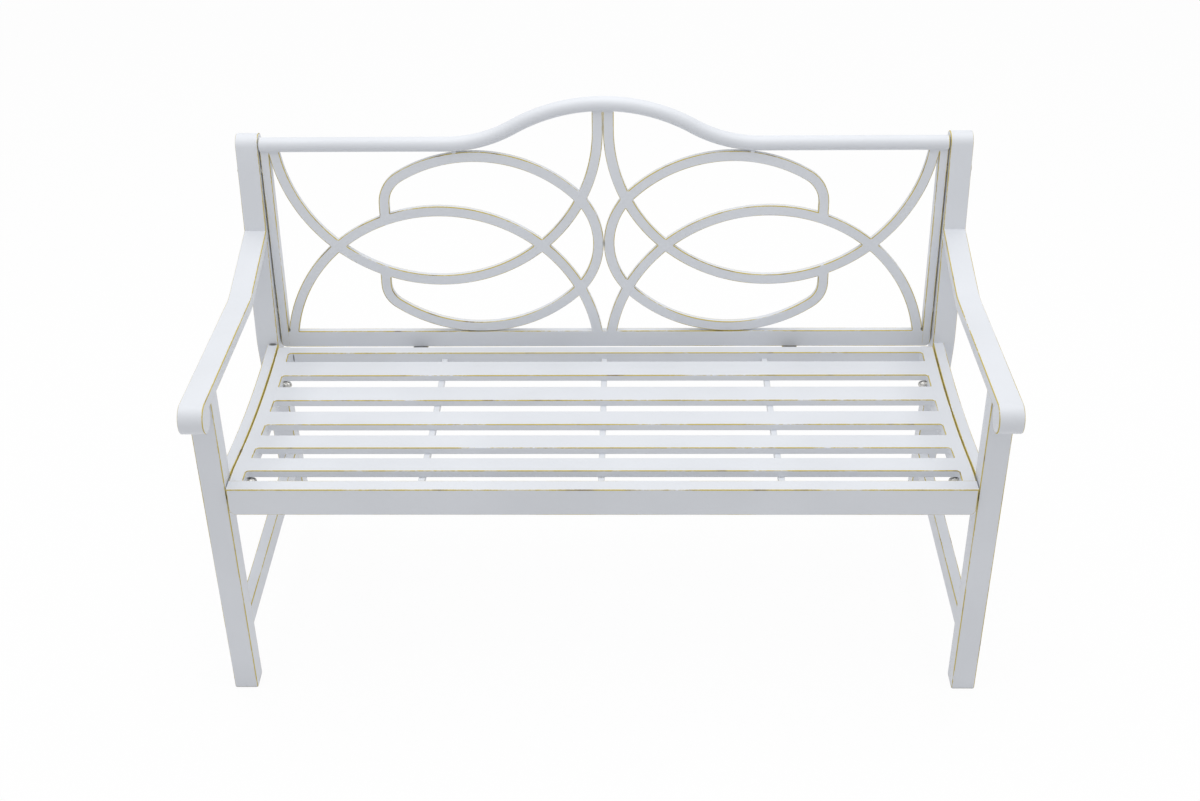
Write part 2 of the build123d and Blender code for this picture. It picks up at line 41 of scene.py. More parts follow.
# Whole bench in metres: X along the bench, +Y to the rear, +Z up; angles in degrees
bench = dict(
    width=1.240, depth=0.604,  # across the end frames; from the arm's nose to the rear feet
    leg=0.038,  # square tube of legs and posts
    railThick=0.019, railHigh=0.038,  # flat tube of armrests, end rails and stretchers
    panelGap=0.002,  # from the seat and back panels to the end frames
    noseReach=0.058,  # arm's nose ahead of the front leg
    postBend=0.400, splay=7.4,  # height of the posts' bend; lean of the posts below it
    footFlange=0.002)  # foot plug's rim below a tube
leg, splay = bench["leg"], radians(bench["splay"])
railThick, railHigh = bench["railThick"], bench["railHigh"]
outerX = bench["width"] / 2
innerX = outerX - leg
panelX = innerX - bench["panelGap"]
legFront = -bench["depth"] / 2 + bench["noseReach"]
legBack = legFront + leg
footY = bench["depth"] / 2 - leg / 2 / cos(splay)
bendY = footY - bench["postBend"] * tan(splay)

# Shaping shared by all pieces; each piece is a set of shells, and a shell is a grid of rings
shaping = dict(
    support=0.0008,  # flat kept beside each rounded edge, so that the flats shade flat
    cornerSteps=4,  # facets round an edge
    outlineSteps=10,  # points round an outline's lower corner
    leastRun=2,  # least steps along a straight run
    leastArc=3,  # least steps along an arc
    leastRadius=0.0001,  # rounding left on a profile shrunk past its own corners
    bite=0.002,  # run of a welded end into the piece it meets
    flush=0.00005,  # step that keeps flush faces of different pieces apart
    crease=50.0,  # angle above which an edge shades sharp
    noEdge=0.01,  # edge distance where no gold line runs
    block=500)  # points whose distances are worked out at a time
bite, flush = shaping["bite"], shaping["flush"]
diagonal = sqrt(0.5)  # each part of a unit vector at 45 degrees


# Unit vector: a vector divided by its length, row by row
def unit(vectors):
    vectors = np.asarray(vectors, float)
    return vectors / np.linalg.norm(vectors, axis=-1, keepdims=True)


# Left-hand normal of a flat direction: (-second, first)
def leftOf(ways):
    return np.stack([-ways[..., 1], ways[..., 0]], -1)


# Points on a circle: centre + radius * (cosine, sine) of each angle
def onCircle(centre, radius, angle):
    return np.asarray(centre) + radius * np.stack([np.cos(angle), np.sin(angle)], -1)


# Distances round an edge: radius * angle from its middle, then the support on each flat beside it
def edgeAway(turn, radius):
    flat = [radius * pi / 4 + shaping["support"]]
    return np.concatenate([flat, radius * abs(turn - pi / 4), flat])


# Rounded rectangle: a quarter circle at each corner and a support point on each flat beside it; gives
# points, normals, the corner that a point turns about, the way its corner faces and its distance from the
# corner line
def roundedProfile(width, height, radius):
    turn = np.linspace(0, pi / 2, shaping["cornerSteps"] + 1)
    half = np.array([width, height]) / 2
    signs = np.array([(1, 1), (-1, 1), (-1, -1), (1, -1)], float)[:, None]
    angle = turn + np.arange(4)[:, None] * pi / 2
    arcs = onCircle(signs * (half - radius), radius, angle)
    normals = onCircle((0, 0), 1, angle)
    ahead = leftOf(normals) * shaping["support"]
    points = np.concatenate([arcs[:, :1] - ahead[:, :1], arcs, arcs[:, -1:] + ahead[:, -1:]], 1)
    normals = np.concatenate([normals[:, :1], normals, normals[:, -1:]], 1)
    facing = np.broadcast_to(signs, points.shape)
    corner = facing * np.pad(np.ones(len(turn)), 1)[:, None]
    return dict(points=points.reshape(-1, 2), normals=normals.reshape(-1, 2), corner=corner.reshape(-1, 2),
                facing=facing.reshape(-1, 2) * diagonal, edge=np.tile(edgeAway(turn, radius), 4),
                half=half, radius=radius)


# Circle profile: points at even angles, with no edge line on it
def circleProfile(radius, steps):
    normals = onCircle((0, 0), 1, np.linspace(0, 2 * pi, steps, endpoint=False))
    return dict(points=radius * normals, normals=normals, corner=0 * normals, facing=normals,
                edge=np.full(steps, shaping["noEdge"]), half=np.array([radius, radius]), radius=radius)


# Profile shrunk by a distance: flats move in along their normals, corner circles shrink to almost nothing
def shrunkProfile(profile, inset):
    left = max(profile["radius"] - inset, shaping["leastRadius"])
    turned = profile["corner"] * (profile["half"] - inset - left) + profile["normals"] * left
    flat = profile["points"] - profile["normals"] * inset
    return np.where(profile["corner"].any(1, keepdims=True), turned, flat)


# Gold left along edges: its share by the height a corner faces, and its fade beside another piece
edgeGold = dict(faces=(-0.7, 0.0, 0.7), shares=(0.70, 0.95, 1.12), inside=0.0002, fade=0.0012)


# Share of gold left on an edge, by the height its corner faces: most on upper edges, least on lower ones
def goldShare(lift):
    return np.interp(lift, edgeGold["faces"], edgeGold["shares"])


# Gold that stops where another piece lies: (distance from it + inside) over the fade, held within 0 and 1
def stopGold(clear):
    return np.clip((clear + edgeGold["inside"]) / edgeGold["fade"], 0, 1)


# Shell with its faces turned the other way: the corners of each face in reverse order
def turnedOver(part):
    return dict(part, quads=part["quads"][:, ::-1], ends=part["ends"][:, ::-1])


# Mirror image of a shell in the YZ plane: X changes sign and the faces turn back outwards
def mirrored(part):
    return dict(turnedOver(part), verts=part["verts"] * (-1, 1, 1))


# Rings to one shell: quads between neighbouring rings and a flat polygon on each open end; the volume, a
# sum of triple products over its triangles, tells which way the faces look
def shell(grid, edge, keep=1.0, loop=False):
    rings, around = grid.shape[:2]
    index = np.arange(rings * around).reshape(rings, around)
    below, above = (index, np.roll(index, -1, 0)) if loop else (index[:-1], index[1:])
    quads = np.stack([below, np.roll(below, -1, 1), np.roll(above, -1, 1), above], -1).reshape(-1, 4)
    ends = np.zeros((0, around), int) if loop else np.stack([index[0, ::-1], index[-1]])
    verts = grid.reshape(-1, 3)
    local = verts - verts.mean(0)
    a, b, c, d = np.moveaxis(local[quads], 1, 0)
    fan = local[ends]
    volume = (np.cross(a, b) * c).sum() + (np.cross(a, c) * d).sum()
    volume += (np.cross(fan[:, 1:-1], fan[:, 2:]) * fan[:, :1]).sum()
    edge, keep = (np.broadcast_to(value, (rings, around)).ravel() for value in (edge, keep))
    # Painted gap shade: none, unless a piece sets it
    part = dict(verts=verts, quads=quads, ends=ends, edge=edge, keep=keep, gapShade=np.zeros(len(verts)))
    return part if volume > 0 else turnedOver(part)


# Rings of a rounded end: moved inwards and shrunk along a quarter circle, then the full profile
def endRings(radius):
    turn = np.linspace(0, pi / 2, shaping["cornerSteps"])
    move = np.concatenate([[0], radius * (1 - np.cos(turn)), [radius + shaping["support"]]])
    pull = np.concatenate([[radius + shaping["support"]], radius * (1 - np.sin(turn)), [0]])
    return move, pull, edgeAway(turn, radius)


# Profile carried along a path: point = centre + across * first coordinate + up * second coordinate;
# ends gives the rounding of the first and the last ring
def swept(centre, across, up, profile, ends=(0, 0)):
    rows = dict(centre=centre, across=across, up=up)
    rows = {key: np.asarray(value, float) for key, value in rows.items()}
    rows["along"] = unit(np.gradient(rows["centre"], axis=0))
    rows["inset"] = np.zeros(len(centre))
    rows["edge"] = np.full(len(centre), shaping["noEdge"])
    for radius, way in zip(ends, (1, -1)):
        if radius:
            move, pull, away = endRings(radius)
            rows = {key: value[::way] for key, value in rows.items()}
            tips = {key: np.repeat(value[:1], len(move), 0) for key, value in rows.items()}
            tips["centre"] = tips["centre"] + way * tips["along"] * move[:, None]
            tips["inset"], tips["edge"] = pull, away
            rows = {key: np.concatenate([tips[key], value[1:]])[::way] for key, value in rows.items()}
    outline = np.stack([shrunkProfile(profile, inset) if inset else profile["points"]
                        for inset in rows["inset"]])
    across, up = rows["across"][:, None], rows["up"][:, None]
    grid = rows["centre"][:, None] + across * outline[..., :1] + up * outline[..., 1:]
    lift = across[..., 2] * profile["facing"][:, 0] + up[..., 2] * profile["facing"][:, 1]
    return shell(grid, np.minimum(profile["edge"], rows["edge"][:, None]), goldShare(lift))


# Straight bar: a profile carried from one point to another in even steps
def straightBar(start, finish, across, up, profile, pieces):
    share = np.linspace(0, 1, pieces + 1)[:, None]
    centre = np.asarray(start) * (1 - share) + np.asarray(finish) * share
    same = np.ones((len(share), 1))
    return swept(centre, same * across, same * up, profile)


# Corner normals of a closed outline: sum of the two side normals over one plus their product
def mitres(outline):
    normal = -leftOf(unit(np.roll(outline, -1, 0) - outline))
    before = np.roll(normal, 1, 0)
    return (normal + before) / (1 + (normal * before).sum(1, keepdims=True))


# Slab with rounded rims: an outline given depth between two faces; ring = outline - mitre * inset at a
# depth; rims gives the share of gold on the near and the far rim
def slab(outline, place, depths, radius, rims=(1.0, 1.0)):
    following = np.roll(outline, -1, 0)
    area = (outline[:, 0] * following[:, 1] - outline[:, 1] * following[:, 0]).sum()
    outward = mitres(outline) * np.sign(area)
    turn, support = np.linspace(0, pi / 2, shaping["cornerSteps"] + 1), shaping["support"]
    inset = np.concatenate([[radius + support], radius * (1 - np.sin(turn)), [0]])
    depth = np.concatenate([[0], radius * (1 - np.cos(turn)), [radius + support]])
    edge = edgeAway(turn, radius)
    edge, inset = np.concatenate([edge, edge[::-1]]), np.concatenate([inset, inset[::-1]])
    depth = np.concatenate([depths[0] + depth, depths[1] - depth[::-1]])
    flat = outline - outward * inset[:, None, None]
    share = np.repeat(rims, len(turn) + 2)[:, None] * goldShare(outward[:, 1] * diagonal)
    return shell(place(flat, depth[:, None]), edge[:, None], share)


# Places an outline of (y, z) at a depth along X
def sideView(flat, depth):
    return np.stack([np.broadcast_to(depth, flat.shape[:2]), flat[..., 0], flat[..., 1]], -1)


# Places an outline of (x, z) at a depth along Y
def frontView(flat, depth):
    return np.stack([flat[..., 0], np.broadcast_to(depth, flat.shape[:2]), flat[..., 1]], -1)


# Straight run at even steps: start + (finish - start) * share
def runLine(start, finish, step):
    start, finish = np.asarray(start, float), np.asarray(finish, float)
    count = max(shaping["leastRun"], int(np.linalg.norm(finish - start) / step))
    return start + (finish - start) * np.linspace(0, 1, count + 1)[:, None]


# Arc about a centre from one angle to another, in degrees, at even steps
def arcLine(centre, radius, start, finish, step):
    count = max(shaping["leastArc"], int(abs(radians(finish - start)) * radius / step))
    return onCircle(centre, radius, np.radians(np.linspace(start, finish, count + 1)))


# Several runs and arcs as one line, each joint kept once
def joined(*runs):
    return np.concatenate([runs[0]] + [run[1:] for run in runs[1:]])


# Bent line: two straight runs joined by an arc that touches both, radius * tan(half turn) from the corner
def bentLine(start, corner, finish, radius, step):
    start, corner, finish = (np.asarray(point, float) for point in (start, corner, finish))
    inward, outward = unit(corner - start), unit(finish - corner)
    turn = atan2(inward[0] * outward[1] - inward[1] * outward[0], inward @ outward)
    touch = radius * tan(abs(turn) / 2)
    first, last = corner - inward * touch, corner + outward * touch
    spoke = -leftOf(inward) * np.sign(turn)
    begin = np.degrees(atan2(spoke[1], spoke[0]))
    arc = arcLine(first - spoke * radius, radius, begin, begin + np.degrees(turn), step)
    return joined(runLine(start, first, step), arc, runLine(last, finish, step))


# Directions along a line of points: central differences made unit
def directions(line):
    return unit(np.gradient(line, axis=0))


# Shells to one object: vertices, faces and the edge, keep and painted gap shade values, shaded smooth
# between creases
def makePiece(name, shells, slotName, *nodes):
    starts = np.cumsum([0] + [len(part["verts"]) for part in shells])
    faces = [part[key] + start for part, start in zip(shells, starts) for key in ("quads", "ends")]
    sizes = np.concatenate([np.full(len(group), group.shape[1], np.int32) for group in faces])
    corners = np.concatenate([group.ravel() for group in faces]).astype(np.int32)
    mesh = bpy.data.meshes.new(name)
    mesh.vertices.add(int(starts[-1]))
    mesh.loops.add(len(corners))
    mesh.polygons.add(len(sizes))
    places = np.concatenate([part["verts"] for part in shells]).astype(np.float32)
    mesh.vertices.foreach_set("co", places.ravel())
    mesh.loops.foreach_set("vertex_index", corners)
    mesh.polygons.foreach_set("loop_start", np.cumsum(sizes, dtype=np.int32) - sizes)
    mesh.polygons.foreach_set("use_smooth", np.ones(len(sizes), bool))
    mesh.update(calc_edges=True)
    # edgeDistance and edgeKeep steer the rubbed gold; the third value is painted gap shade
    for label, key in (("edgeDistance", "edge"), ("edgeKeep", "keep"), ("paintedGapShade", "gapShade")):
        values = np.concatenate([part[key] for part in shells]).astype(np.float32)
        mesh.attributes.new(label, "FLOAT", "POINT").data.foreach_set("value", values)
    mesh.set_sharp_from_angle(angle=radians(shaping["crease"]))
    mesh.materials.append(finishes[slotName])
    piece = bpy.data.objects.new(name, mesh)
    bpy.context.scene.collection.objects.link(piece)
    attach(piece, "root")
    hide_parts(*nodes)


# Shell with its gold multiplied by a share, one for all its points or one for each
def withGold(part, share):
    return dict(part, keep=part["keep"] * share)


# Right-hand shells to a painted right and left piece, each with its own share of gold
def makePair(name, node, shells, gold=(1.0, 1.0)):
    for side, share in zip(("Right", "Left"), gold):
        parts = [withGold(part, share) for part in shells]
        if side == "Left":
            parts = [mirrored(part) for part in parts]
        makePiece(name + side, parts, "frame_paint", f"{node}_{side.lower()}")


# Shells together with their mirror images
def bothSides(shells):
    return shells + [mirrored(part) for part in shells]


# Materials: lengths in metres, noise as scale per metre, octaves and their fall; a From pair holds the
# values between which a mask rises

spray = dict(tone=(5.0, 2.0, 0.5), mottle=(70.0, 4.0, 0.65), bumpDepth=0.0005)
paint = dict(
    colour=(0.752, 0.776, 0.820), dim=0.955,  # white, and its share where it is dimmer
    toneFrom=(0.3, 0.7), spotFrom=(0.55, 0.8), spots=0.35,  # broad dimming, small dim spots
    roughness=0.42, grain=0.16,  # its middle and its spread
    peel=420.0, bump=0.10,  # scale and strength of the orange peel
    gold=(0.56, 0.435, 0.045), umber=(0.20, 0.135, 0.022),  # rubbed edges and their dark stretches
    lineWidth=0.00125, lineStrength=0.92,  # rubbed line before its noise; how much it covers
    lineRough=0.12, lineMetal=0.1, lineSink=-0.35,  # added to roughness, metal and height
    seam=(0.045, 0.040, 0.032), seamStrength=0.85,  # painted shade in the gaps where pieces meet
    seamFrom=(0.0, 0.6), gapShadeFrom=(0.05, 0.9))
rub = dict(
    slow=(11.0, 2.0, 0.5), slowGain=3.0,  # sway of the line's width, long waves
    fast=(130.0, 3.0, 0.6), fastGain=1.4,  # the same, short waves
    level=-1.4, widest=0.0013,  # start of the sway, limit of the width
    fine=(900.0, 2.0, 0.6), blur=0.0006,  # broken rim
    soft=(-0.0002, 0.0004),  # fade across the rim
    dark=(23.0, 3.0, 0.6), darkFrom=(0.53, 0.75))  # where gold turns to umber
steel = dict(
    colour=(0.66, 0.65, 0.62), dull=(0.34, 0.33, 0.31),  # bright plating and its dull patches
    patch=(260.0, 4.0, 0.65), dullFrom=(0.42, 0.68),
    metallic=0.9, roughness=0.19, wear=0.35,  # wear roughens with the patches
    peel=1500.0, bump=0.12)
plastic = dict(
    colour=(0.60, 0.60, 0.585), scuff=0.78,  # colour, and its share in scuffed spots
    scuffFrom=(0.48, 0.75), roughness=0.48, grain=0.25,
    peel=1800.0, bump=0.25)
# Dark seams, painted shade in the gaps between pieces: place and reach; the same on both sides, unless the
# place is on the left
seams = dict(
    legAtRail=((0.5820, -0.2440, 0.3990), (0.0017, 0.0040, 0.0150)),
    archAtStile=((0.5630, 0.2320, 0.4165), (0.0024, 0.0060, 0.0045)),
    ovalNoses=((0.0001, 0.2480, 0.5820), (0.0030, 0.0090, 0.0110)),
    crownSlit=((0.0001, 0.2635, 0.7915), (0.0012, 0.0120, 0.0300)),
    postAtRail=((-0.5915, 0.2110, 0.3990), (0.0100, 0.0050, 0.0020)),
    rearSlot=((-0.5500, 0.1805, 0.3890), (0.0016, 0.0040, 0.0110)))


# New shader group with named sockets: inputs give name, kind and default, outputs name and kind
def newGroup(name, inputs, outputs):
    group = bpy.data.node_groups.new(name, "ShaderNodeTree")
    for label, kind, value in inputs:
        socket = group.interface.new_socket(label, in_out="INPUT", socket_type=kind)
        if value is not None:
            socket.default_value = value
    for label, kind in outputs:
        group.interface.new_socket(label, in_out="OUTPUT", socket_type=kind)
    return group, group.nodes.new("NodeGroupInput").outputs, group.nodes.new("NodeGroupOutput").inputs


# Value of a socket: a link from another socket, or a constant
def feed(tree, socket, value):
    if isinstance(value, bpy.types.NodeSocket):
        tree.links.new(value, socket)
    else:
        socket.default_value = value


# Node with its settings and named sockets filled in one call
def addNode(tree, kind, settings=None, **sockets):
    node = tree.nodes.new(kind)
    for key, value in (settings or {}).items():
        setattr(node, key, value)
    for key, value in sockets.items():
        feed(tree, node.inputs[key.replace("_", " ")], value)
    return node


# Number from numbers or sockets by one operation
def calc(tree, operation, *values):
    node = addNode(tree, "ShaderNodeMath", dict(operation=operation))
    for socket, value in zip(node.inputs, values):
        feed(tree, socket, value)
    return node.outputs[0]


# Vector from vectors or sockets by one operation
def vectorCalc(tree, operation, *values):
    node = addNode(tree, "ShaderNodeVectorMath", dict(operation=operation))
    for socket, value in zip(node.inputs, values):
        feed(tree, socket, value)
    return node.outputs["Value" if operation == "LENGTH" else "Vector"]


# Smooth step of a value between two limits, from 0 to 1
def ramp(tree, value, low, high):
    node = addNode(tree, "ShaderNodeMapRange", dict(interpolation_type="SMOOTHSTEP"), Value=value)
    node.inputs["From Min"].default_value, node.inputs["From Max"].default_value = low, high
    return node.outputs["Result"]


# Noise value at a place: scale per metre, octaves and their fall
def noise(tree, vector, scale, detail=2.0, roughness=0.5):
    node = addNode(tree, "ShaderNodeTexNoise", Vector=vector, Scale=scale, Detail=detail,
                   Roughness=roughness)
    return node.outputs["Fac"]


# Mix of two colours by a factor
def blendColour(tree, factor, first, second):
    node = addNode(tree, "ShaderNodeMix", dict(data_type="RGBA"), Factor=factor)
    for socket, value in zip(node.inputs[6:8], (first, second)):  # the two colour sockets
        feed(tree, socket, value if isinstance(value, bpy.types.NodeSocket) else (*value, 1.0))
    return node.outputs[2]  # the mixed colour


# Rubbed gold: a line along each edge as wide as slow plus fast noise, its rim broken by fine noise; umber
# is a noise of its own, smoothed to a mask
def rubbedEdge():
    tree, given, gives = newGroup(
        "rubbedEdge",
        [("Vector", "NodeSocketVector", None), ("Distance", "NodeSocketFloat", shaping["noEdge"]),
         ("Keep", "NodeSocketFloat", 1.0)],
        [("Gold", "NodeSocketFloat"), ("Umber", "NodeSocketFloat")])
    place = given["Vector"]
    sway = calc(tree, "MULTIPLY_ADD", noise(tree, place, *rub["slow"]), rub["slowGain"], rub["level"])
    sway = calc(tree, "MULTIPLY_ADD", noise(tree, place, *rub["fast"]), rub["fastGain"], sway)
    width = calc(tree, "MULTIPLY", calc(tree, "MULTIPLY", sway, given["Keep"]), paint["lineWidth"])
    width = calc(tree, "MINIMUM", width, rub["widest"])
    stray = calc(tree, "MULTIPLY_ADD", noise(tree, place, *rub["fine"]), rub["blur"], -rub["blur"] / 2)
    side = calc(tree, "SUBTRACT", width, calc(tree, "ADD", given["Distance"], stray))
    tree.links.new(ramp(tree, side, *rub["soft"]), gives["Gold"])
    tree.links.new(ramp(tree, noise(tree, place, *rub["dark"]), *rub["darkFrom"]), gives["Umber"])
    return tree


# Sprayed skin: broad tone drift, faint mottle and orange peel height, each its own noise
def sprayedSkin():
    tree, given, gives = newGroup(
        "sprayedSkin",
        [("Vector", "NodeSocketVector", None), ("Peel", "NodeSocketFloat", paint["peel"])],
        [("Tone", "NodeSocketFloat"), ("Mottle", "NodeSocketFloat"), ("Height", "NodeSocketFloat")])
    place = given["Vector"]
    tree.links.new(noise(tree, place, *spray["tone"]), gives["Tone"])
    tree.links.new(noise(tree, place, *spray["mottle"]), gives["Mottle"])
    tree.links.new(noise(tree, place, given["Peel"]), gives["Height"])
    return tree


# Dark seams, painted shade in the gaps between pieces: distance from a place over its reach, smoothed from
# 1 inside to 0 at the rim; the largest counts
def gapShadeSpots():
    tree, given, gives = newGroup(
        "gapShadeSpots", [("Vector", "NodeSocketVector", None)], [("Mask", "NodeSocketFloat")])
    parts = addNode(tree, "ShaderNodeSeparateXYZ", Vector=given["Vector"]).outputs
    away = calc(tree, "ABSOLUTE", parts["X"])
    folded = addNode(tree, "ShaderNodeCombineXYZ", X=away, Y=parts["Y"], Z=parts["Z"]).outputs["Vector"]
    mask = 0.0
    for place, reach in seams.values():
        step = vectorCalc(tree, "SUBTRACT", folded if place[0] > 0 else given["Vector"], place)
        ratio = vectorCalc(tree, "LENGTH", vectorCalc(tree, "DIVIDE", step, reach))
        inside = ramp(tree, calc(tree, "SUBTRACT", 1.0, ratio), *paint["seamFrom"])
        mask = calc(tree, "MAXIMUM", inside, mask)
    tree.links.new(mask, gives["Mask"])
    return tree


rubbedGroup, skinGroup, seamGroup = rubbedEdge(), sprayedSkin(), gapShadeSpots()


# Blank material with its shader and Object coordinates
def newMaterial(name):
    material = bpy.data.materials.new(name)
    material.use_nodes = True
    tree = material.node_tree
    coords = addNode(tree, "ShaderNodeTexCoord").outputs["Object"]
    return material, tree, tree.nodes["Principled BSDF"].inputs, coords


# Value stored on the mesh under a name
def stored(tree, name):
    return addNode(tree, "ShaderNodeAttribute", dict(attribute_name=name)).outputs["Fac"]


# Skin values at a place: tone, mottle and height with a given peel size
def skinAt(tree, coords, peel):
    return addNode(tree, "ShaderNodeGroup", dict(node_tree=skinGroup), Vector=coords, Peel=peel).outputs


# Bump normal from a height value
def bumped(tree, socket, height, strength):
    bump = addNode(tree, "ShaderNodeBump", Strength=strength, Distance=spray["bumpDepth"], Height=height)
    tree.links.new(bump.outputs["Normal"], socket)


# White paint: sprayed skin, rubbed gold where edgeDistance is small, painted shade where pieces meet
def paintMaterial():
    material, tree, shader, coords = newMaterial("framePaint")
    skin = skinAt(tree, coords, paint["peel"])
    dim = tuple(paint["dim"] * value for value in paint["colour"])
    base = blendColour(tree, ramp(tree, skin["Tone"], *paint["toneFrom"]), paint["colour"], dim)
    spots = calc(tree, "MULTIPLY", ramp(tree, skin["Mottle"], *paint["spotFrom"]), paint["spots"])
    base = blendColour(tree, spots, base, dim)
    rubbed = addNode(tree, "ShaderNodeGroup", dict(node_tree=rubbedGroup), Vector=coords,
                     Distance=stored(tree, "edgeDistance"), Keep=stored(tree, "edgeKeep")).outputs
    line = blendColour(tree, rubbed["Umber"], paint["gold"], paint["umber"])
    amount = calc(tree, "MULTIPLY", rubbed["Gold"], paint["lineStrength"])
    # Painted shade: dark spots in the gaps between pieces, at the places listed in seams
    spotShade = addNode(tree, "ShaderNodeGroup", dict(node_tree=seamGroup), Vector=coords).outputs["Mask"]
    # Painted shade stored on the mesh: where pieces nearly touch, and over the brackets
    gapShade = ramp(tree, stored(tree, "paintedGapShade"), *paint["gapShadeFrom"])
    base = blendColour(tree, calc(tree, "MULTIPLY", gapShade, paint["seamStrength"]), base, paint["seam"])
    base = blendColour(tree, amount, base, line)
    base = blendColour(tree, calc(tree, "MULTIPLY", spotShade, paint["seamStrength"]), base, paint["seam"])
    tree.links.new(base, shader["Base Color"])
    least = paint["roughness"] - paint["grain"] / 2
    rough = calc(tree, "MULTIPLY_ADD", skin["Mottle"], paint["grain"], least)
    tree.links.new(calc(tree, "MULTIPLY_ADD", amount, paint["lineRough"], rough), shader["Roughness"])
    tree.links.new(calc(tree, "MULTIPLY", amount, paint["lineMetal"]), shader["Metallic"])
    height = calc(tree, "MULTIPLY_ADD", amount, paint["lineSink"], skin["Height"])
    bumped(tree, shader["Normal"], height, paint["bump"])
    return material


# Zinc-plated steel: dull patches that also roughen it, under a fine grain
def steelMaterial():
    material, tree, shader, coords = newMaterial("boltSteel")
    patch = noise(tree, coords, *steel["patch"])
    base = blendColour(tree, ramp(tree, patch, *steel["dullFrom"]), steel["colour"], steel["dull"])
    tree.links.new(base, shader["Base Color"])
    shader["Metallic"].default_value = steel["metallic"]
    rough = calc(tree, "MULTIPLY_ADD", patch, steel["wear"], steel["roughness"])
    tree.links.new(rough, shader["Roughness"])
    bumped(tree, shader["Normal"], skinAt(tree, coords, steel["peel"])["Height"], steel["bump"])
    return material


# Moulded plastic: fine grain with scuffed darker spots
def plasticMaterial():
    material, tree, shader, coords = newMaterial("footPlastic")
    skin = skinAt(tree, coords, plastic["peel"])
    scuff = tuple(plastic["scuff"] * value for value in plastic["colour"])
    base = blendColour(tree, ramp(tree, skin["Mottle"], *plastic["scuffFrom"]), plastic["colour"], scuff)
    tree.links.new(base, shader["Base Color"])
    rough = calc(tree, "MULTIPLY_ADD", skin["Mottle"], plastic["grain"], plastic["roughness"])
    tree.links.new(rough, shader["Roughness"])
    bumped(tree, shader["Normal"], skin["Height"], plastic["bump"])
    return material


finishes = dict(frame_paint=paintMaterial(), fastener_metal=steelMaterial(), foot_plastic=plasticMaterial())
print("materials: paint, steel and plastic made")

# Seat

seat = dict(
    frontReach=0.006, rearReach=0.030,  # front ahead of the leg; rear ahead of the posts' bend
    crest=0.4165, frontRadius=0.365,  # height of the front rail; round over its top
    dishDepth=0.022, lowSetback=0.318,  # lowest place: below the crest, behind the front
    frontRail=(0.025, 0.0485), frontCorner=0.010,  # depth and height; round of its lower corners
    frontEdge=0.0016, frontStep=0.03,  # rounding of its edges; step along its outline
    sideRail=(0.022, 0.032), rearRail=(0.020, 0.032), edgeRadius=0.0013,
    slatCount=5, slat=(0.043, 0.012),  # width and thickness
    slatFrontGap=0.0265, slatRearGap=0.0245,  # slots beside the front and the rear rail
    slotCorner=0.005, slotSteps=9,  # weld's round at the ends of the slots
    supportBar=0.010, supportSpacing=0.282, supportEdge=0.0008,
    supportBite=0.0004,  # run of the support bars into the slats
    barGold=(1.35, 0.35, 0.1),  # gold on the front, rear and lower edges of slats and rear rail
    sideGold=(1.5, 1.5), outerGold=1.4,  # on the right and left side rail; on their outer edges
    supportGold=0.1,
    barSteps=31, step=0.0015)  # points along a slat; step along the seat line
seatFront, seatRear = legFront - seat["frontReach"], bendY - seat["rearReach"]
crestY, lowY = seatFront + seat["frontRail"][0], seatFront + seat["lowSetback"]
dishDepth, dishRun = seat["dishDepth"], lowY - crestY
dishRadius = (dishRun**2 + dishDepth**2) / (2 * dishDepth) - seat["frontRadius"]
dishStart = crestY + seat["frontRadius"] * sin(2 * atan(dishDepth / dishRun))
slatHalf = panelX - seat["sideRail"][0]
slatWide, slatThick = seat["slat"]
rearRailFront, rearRailY = seatRear - seat["rearRail"][0], seatRear - seat["rearRail"][0] / 2


# Seat line: a round over the front rail running into the dish, each height = centre +- root of (radius
# squared less run squared); gives height and slope at y
def seatLine(y):
    y = np.asarray(y, float)
    ahead = y < dishStart
    run = np.where(ahead, y - crestY, y - lowY)
    radius = np.where(ahead, seat["frontRadius"], dishRadius)
    reach = np.sqrt(radius**2 - run**2)
    height = seat["crest"] + np.where(ahead, reach - radius, radius - reach - dishDepth)
    return height, np.where(ahead, -run, run) / reach


# Way along the seat line and the way up from it, from its slope
def seatWays(slope):
    slope = np.asarray(slope, float)
    along = unit(np.stack([0 * slope, 1 + 0 * slope, slope], -1))
    return along, np.stack([0 * slope, -along[..., 2], along[..., 1]], -1)


# Bar that follows the seat line a given drop below it, at one place along X
def seatBand(x, profile, drop, front, rear, ends=(0, 0)):
    y = runLine((front, 0), (rear, 0), seat["step"])[:, 0]
    z, slope = seatLine(y)
    up = seatWays(slope)[1]
    centre = np.stack([x + 0 * y, y, z], 1) - up * (drop + profile["half"][1])
    across = np.repeat([[1.0, 0, 0]], len(y), 0)
    return swept(centre, across, up, profile, ends)


seatEdge = seat["edgeRadius"]
firstSlat = crestY + seat["slatFrontGap"] + slatWide / 2
lastSlat = rearRailFront - seat["slatRearGap"] - slatWide / 2
slatPlaces = np.linspace(firstSlat, lastSlat, seat["slatCount"])


# Side rail: a band along the seat line; its inner edge keeps gold only where the slots are open
def sideRailShell():
    middle = panelX - seat["sideRail"][0] / 2
    profile = roundedProfile(*seat["sideRail"], seatEdge)
    part = seatBand(middle, profile, 0, crestY - bite / 2, seatRear, (0, seatEdge))
    x, y = part["verts"][:, 0], part["verts"][:, 1]
    clear = abs(y[:, None] - slatPlaces).min(1) - slatWide / 2
    clear = np.minimum(clear, np.minimum(y - crestY, rearRailFront - y))
    return withGold(part, np.where(x < middle, stopGold(clear), seat["outerGold"]))


makePair("seatSideRail", "seat_side_rail", [sideRailShell()], seat["sideGold"])


# Lower right corner of a panel's outline: a quarter circle from straight down to level
def lowerCorner(low, radius):
    angle = np.linspace(-pi / 2, 0, shaping["outlineSteps"])
    return onCircle((panelX - radius, low + radius), radius, angle)


